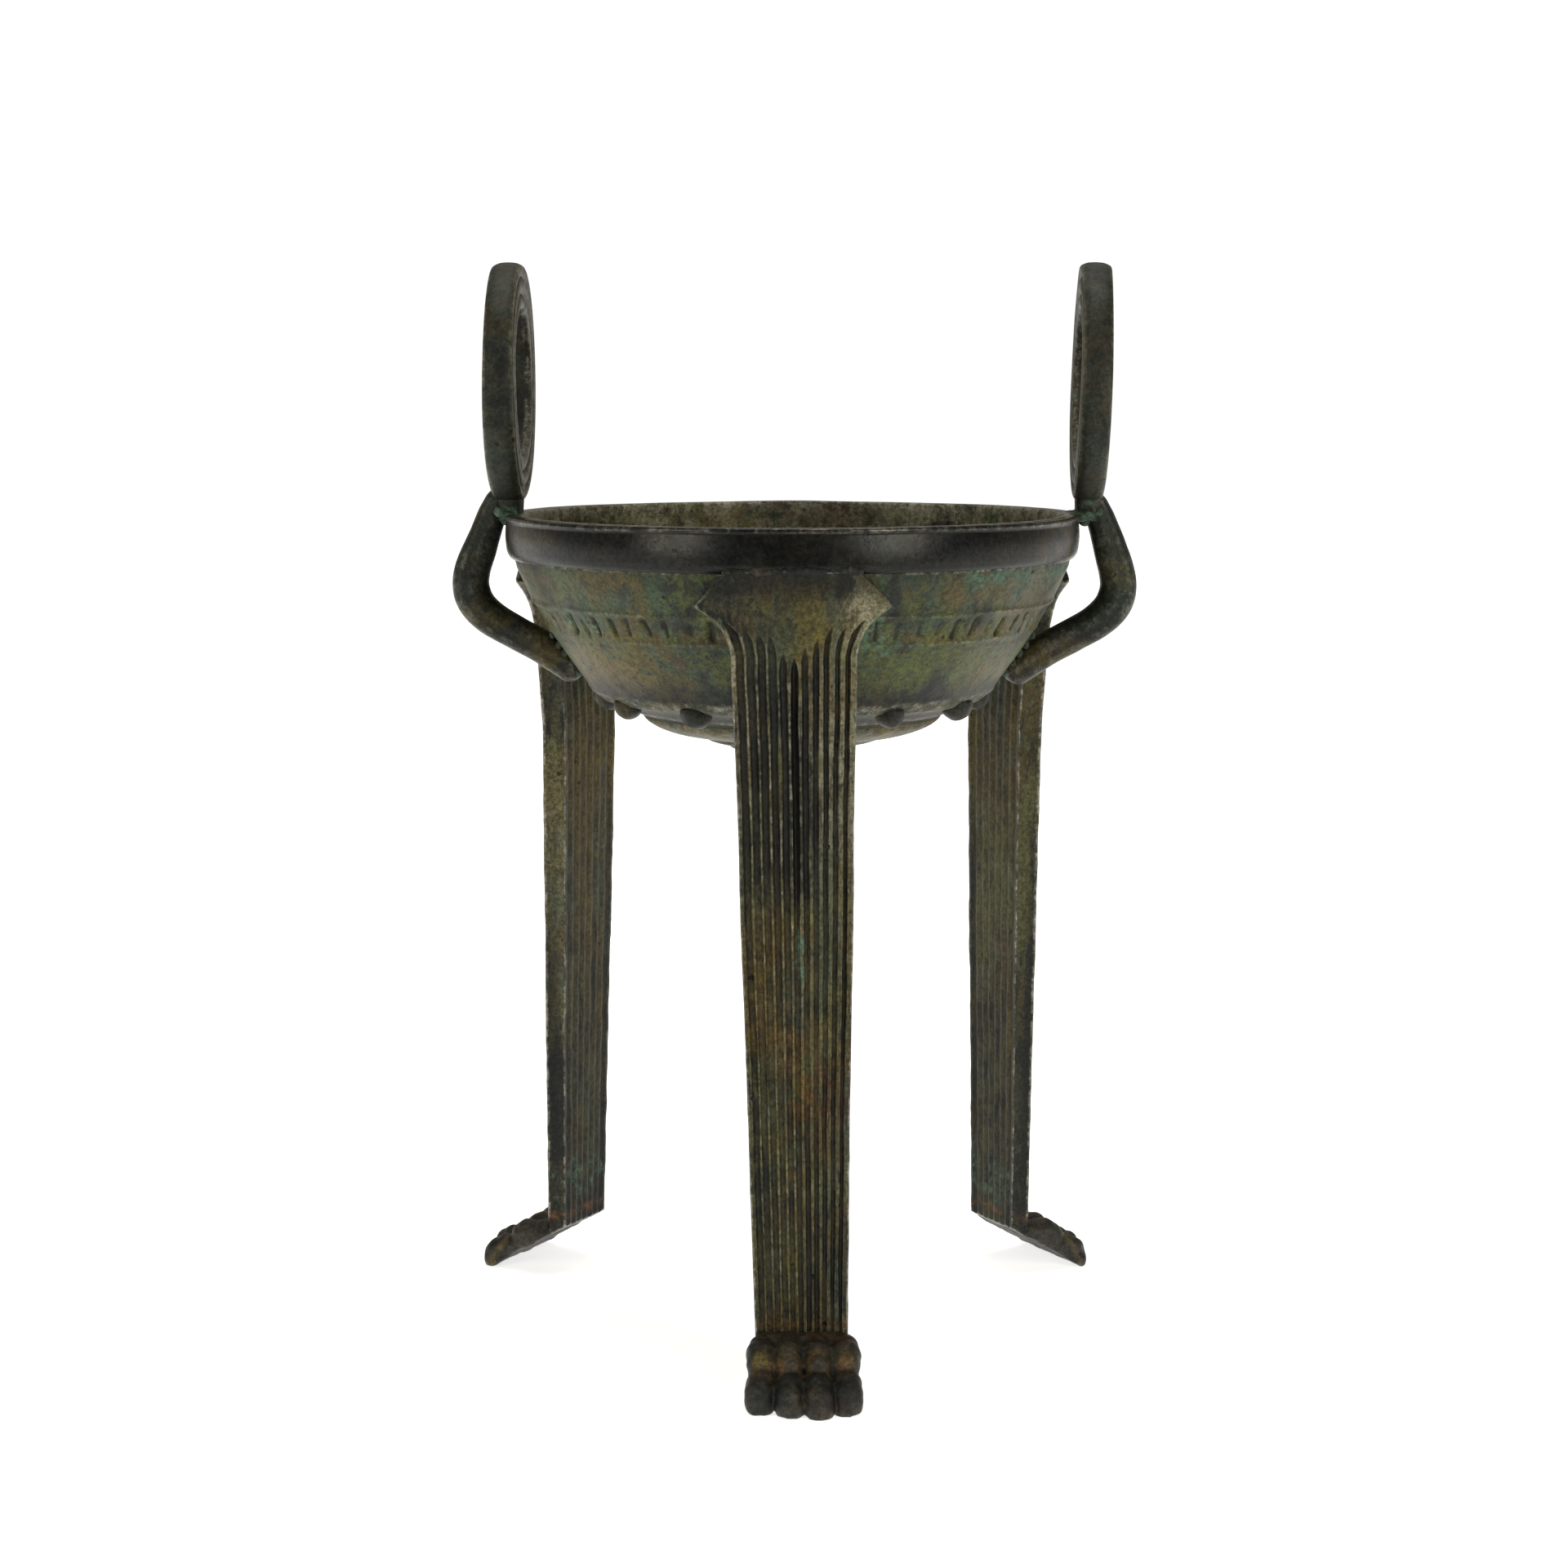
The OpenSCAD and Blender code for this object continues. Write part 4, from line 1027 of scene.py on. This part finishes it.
def make_strut(side, seed):
    """A bent bar with rounded edges, a crease along its front and a blunt lower tip."""
    line, run = spline(STRUT_LINE[side], 120)
    along = np.gradient(line, axis=0)
    along /= np.linalg.norm(along, axis=1)[:, None]
    normal = np.stack([-along[:, 1], along[:, 0]], -1)
    a = np.linspace(0, 2 * math.pi, 56, endpoint=False)
    total = run[-1]
    rows = []
    for k in range(len(run)):
        s = run[k]
        end = min(s / 1.0, 1.0)
        tip = min((total - s) / 2.4, 1.0)
        close = math.sqrt(max(1 - (1 - tip) ** 2, 0.02)) * (0.86 + 0.14 * end)
        thick = np.interp(s, [0, 4, 12, 20, 28, total], [2.0, 2.6, 3.2, 3.5, 3.2, 3.0]) * close
        wide = np.interp(s, [0, 6, 20, total], [2.9, 3.1, 3.3, 3.5]) * close
        ca, sa = np.cos(a), np.sin(a)
        t = np.sign(ca) * np.abs(ca) ** 0.74 * thick
        w = np.sign(sa) * np.abs(sa) ** 0.74 * wide
        crease = 0.12 * np.exp(-(((t - 0.25 * thick) / 0.6) ** 2)) * (np.abs(sa) > 0.5)
        w = w - np.sign(sa) * crease
        x = line[k, 0] + normal[k, 0] * t
        z = line[k, 1] + normal[k, 1] * t
        rows.append(xyz(x, w, z))
    points = np.concatenate(rows)
    points += bumps(points, [(6, 0.12), (2, 0.05)], seed)[:, None]
    if side == "left":
        points[:, 0] *= -1
    mesh = new_mesh(side + "_strut_bar", points, tube_faces(len(rows), len(a)))
    tidy_normals(mesh)
    p = mesh_points(mesh)
    masks = {
        "verd": 0.6 * patches(p, 7, seed + 3, 0, 0.6) * smooth(np.abs(p[:, 1]), 1, 2.5),
        "gold": 0.4 * patches(p, 9, seed + 4, -0.1, 0.6),
        "char": 0.3 + 0.3 * patches(p, 8, seed + 5, -0.3, 0.5)
        + (0.45 if side == "right" else 0.25) * (1 - smooth(p[:, 2], 128, 138)),
    }
    return piece(side + "_strut_bar", mesh, [side + "_strut"], strut_skin, masks,
                 steps=14, reach=0.14, sharp=60)


# ---- brazing


def blob_mesh(name, balls, voxel, layers, seed):
    bm = bmesh.new()
    for centre, radii in balls:
        add_ball(bm, centre, radii)
    mesh = voxel_mesh(mesh_from(bm, name), voxel, 2)
    mesh.name = name
    roughened(mesh, layers, seed)
    return mesh


def braze_piece(node, mesh, skin, masks, steps, reach):
    return piece(node + "_bead", mesh, [node], skin, masks, steps=steps, reach=reach)


def make_leg_braze(name, seed):
    """Lumps of brazing metal in the corner between a leg's head and the band."""
    balls = []
    r = RIM_RADIUS - 0.75
    for k, a in enumerate(np.radians(np.linspace(-12.4, 12.4, 31))):
        jitter = float(cell_random(np.int64(k), 3, 5, seed))
        size = 0.8 + 0.22 * jitter
        balls.append(((r * math.sin(a), -r * math.cos(a), HEAD_TOP + 0.45 + 0.2 * jitter), (size,) * 3))
    mesh = blob_mesh(name + "_leg_braze_bead", balls, 0.2, [(1.4, 0.2), (0.7, 0.08)], seed)
    set_points(mesh, turned(mesh_points(mesh), LEGS[name]["turn"]))
    p = mesh_points(mesh)
    masks = {"char": 0.75 * patches(p, 5, seed + 1, -0.6, 0.2),
             "verd": 0.5 * patches(p, 4, seed + 2, 0, 0.5)}
    return braze_piece(name + "_leg_braze", mesh, seam_skin, masks, 6, 0.16)


def make_ring_braze(side, seed):
    sign = -1 if side == "left" else 1
    at = RINGS[side]["at"]
    rim_x = sign * (RIM_RADIUS - 1.0)
    balls = []
    for y in (-4.3, -3.0, 3.0, 4.3):
        for t in (0, 0.5, 1):
            x = rim_x + (at - rim_x) * t
            balls.append(((x, y, RIM_Z - 0.5 + 0.5 * t), (1.3, 1.3, 0.95)))
    for y in (-1.5, 0.0, 1.5):
        balls.append((((rim_x + at) / 2 + sign * 0.8, y, RIM_Z - 0.9), (1.4, 1.6, 1.3)))
    balls.append(((at + sign * 1.9, -3.4, RIM_Z + 0.5), (0.9, 1.2, 1.0)))
    mesh = blob_mesh(side + "_ring_braze_bead", balls, 0.24, [(2.2, 0.25), (1.0, 0.10)], seed)
    p = mesh_points(mesh)
    masks = {"verd": 0.45 + 0.5 * patches(p, 3, seed + 1, -0.3, 0.5)}
    return braze_piece(side + "_ring_braze", mesh, braze_skin, masks, 8, 0.22)


def make_strut_braze(side, seed):
    sign = -1 if side == "left" else 1
    balls = []
    for y in (-1, 1):
        for t in np.linspace(0, 1, 5):
            depth = 22.6 + 7.0 * t
            centre = (sign * (wall_radius(depth) + 0.2), y * (3.35 - 0.5 * t), RIM_Z - depth)
            balls.append((centre, (0.75, 0.9, 0.9)))
    mesh = blob_mesh(side + "_strut_braze_bead", balls, 0.2, [(1.6, 0.18), (0.8, 0.07)], seed)
    p = mesh_points(mesh)
    masks = {"verd": 0.35 + 0.4 * patches(p, 3, seed + 1, -0.3, 0.5), "char": np.full(len(p), 0.2)}
    return braze_piece(side + "_strut_braze", mesh, braze_skin, masks, 8, 0.2)


make_bowl()
make_band()
make_disc()
make_studs()
for number, leg in enumerate(LEGS):
    make_leg(leg, 100 + 40 * number)
    make_paw(leg, 300 + 40 * number)
    make_leg_braze(leg, 500 + 10 * number)
for number, side in enumerate(("left", "right")):
    make_ring(side, 600 + 20 * number)
    make_strut(side, 700 + 20 * number)
    make_ring_braze(side, 800 + 20 * number)
    make_strut_braze(side, 900 + 20 * number)

# ---- floor, light and camera


def stage_floor():
    """A pale table top that glows a little more away from the object, so that it stays white."""
    front, side, back = -0.27, 3.0, 3.0
    corners = [(-side, front, 0), (side, front, 0), (side, back, 0), (-side, back, 0)]
    mesh = new_mesh("floor", corners, [[0, 1, 2, 3]])
    white = bpy.data.materials.new("floor_white")
    s = Shade(white)
    away = s.add("ShaderNodeVectorMath", {0: s.where}, operation="LENGTH")
    glow = s.plus(s.step(away.outputs["Value"], 0.08, 0.42, 0.38), 0.72)
    s.finish({"Base Color": (0.86, 0.86, 0.86), "Roughness": 0.7, "Emission Color": (1, 1, 1),
              "Emission Strength": glow})
    mesh.materials.append(white)
    floor = add_object("floor", mesh)


WARM = (1.0, 0.965, 0.87)


def soft_light(name, place, aim, size, power):
    lamp = bpy.data.lights.new(name, "AREA")
    lamp.shape = "RECTANGLE"
    lamp.size, lamp.size_y = size
    lamp.energy = power
    lamp.color = WARM
    obj = add_object(name, lamp)
    obj.location = place
    way = mathutils.Vector(aim) - mathutils.Vector(place)
    obj.rotation_euler = way.to_track_quat("-Z", "Y").to_euler()


def studio_world():
    """White behind the object, as the backdrop is, and a dim room in front of it."""
    world = bpy.data.worlds.new("studio")
    bpy.context.scene.world = world
    s = Shade(world)
    split = s.add("ShaderNodeSeparateXYZ", {0: s.place["Generated"]})
    bright = s.step(split.outputs["Y"], -0.2, 0.9, 0.35, 0.03)
    room = s.add("ShaderNodeBackground", {"Color": WARM, "Strength": bright})
    white = s.add("ShaderNodeBackground", {"Color": (1, 1, 1), "Strength": 1.05})
    seen = s.add("ShaderNodeLightPath").outputs["Is Camera Ray"]
    pick = s.add("ShaderNodeMixShader", {0: seen, 1: room.outputs[0], 2: white.outputs[0]})
    s.add("ShaderNodeOutputWorld", {0: pick.outputs[0]})


stage_floor()
soft_light("soft_left", (-0.62, -0.61, 0.30), (0, 0, 0.11), (0.19, 0.60), 3.5)
soft_light("soft_right", (0.55, -0.68, 0.30), (0, 0, 0.11), (0.17, 0.60), 4.5)
soft_light("soft_top", (0, 0.1, 1.1), (0, 0, 0.1), (0.8, 0.8), 6.5)
studio_world()
bpy.context.scene.view_settings.view_transform = "Standard"

camera = bpy.data.cameras.new("camera")
camera.sensor_width = 36
camera.lens = 69.49
camera.clip_start = 0.01
LOOKS_DOWN = 7.893
view = add_object("camera", camera)
view.location = (-0.00156, -0.5713, 0.1813)
view.rotation_euler = (math.radians(90 - LOOKS_DOWN), 0, 0)
bpy.context.scene.camera = view
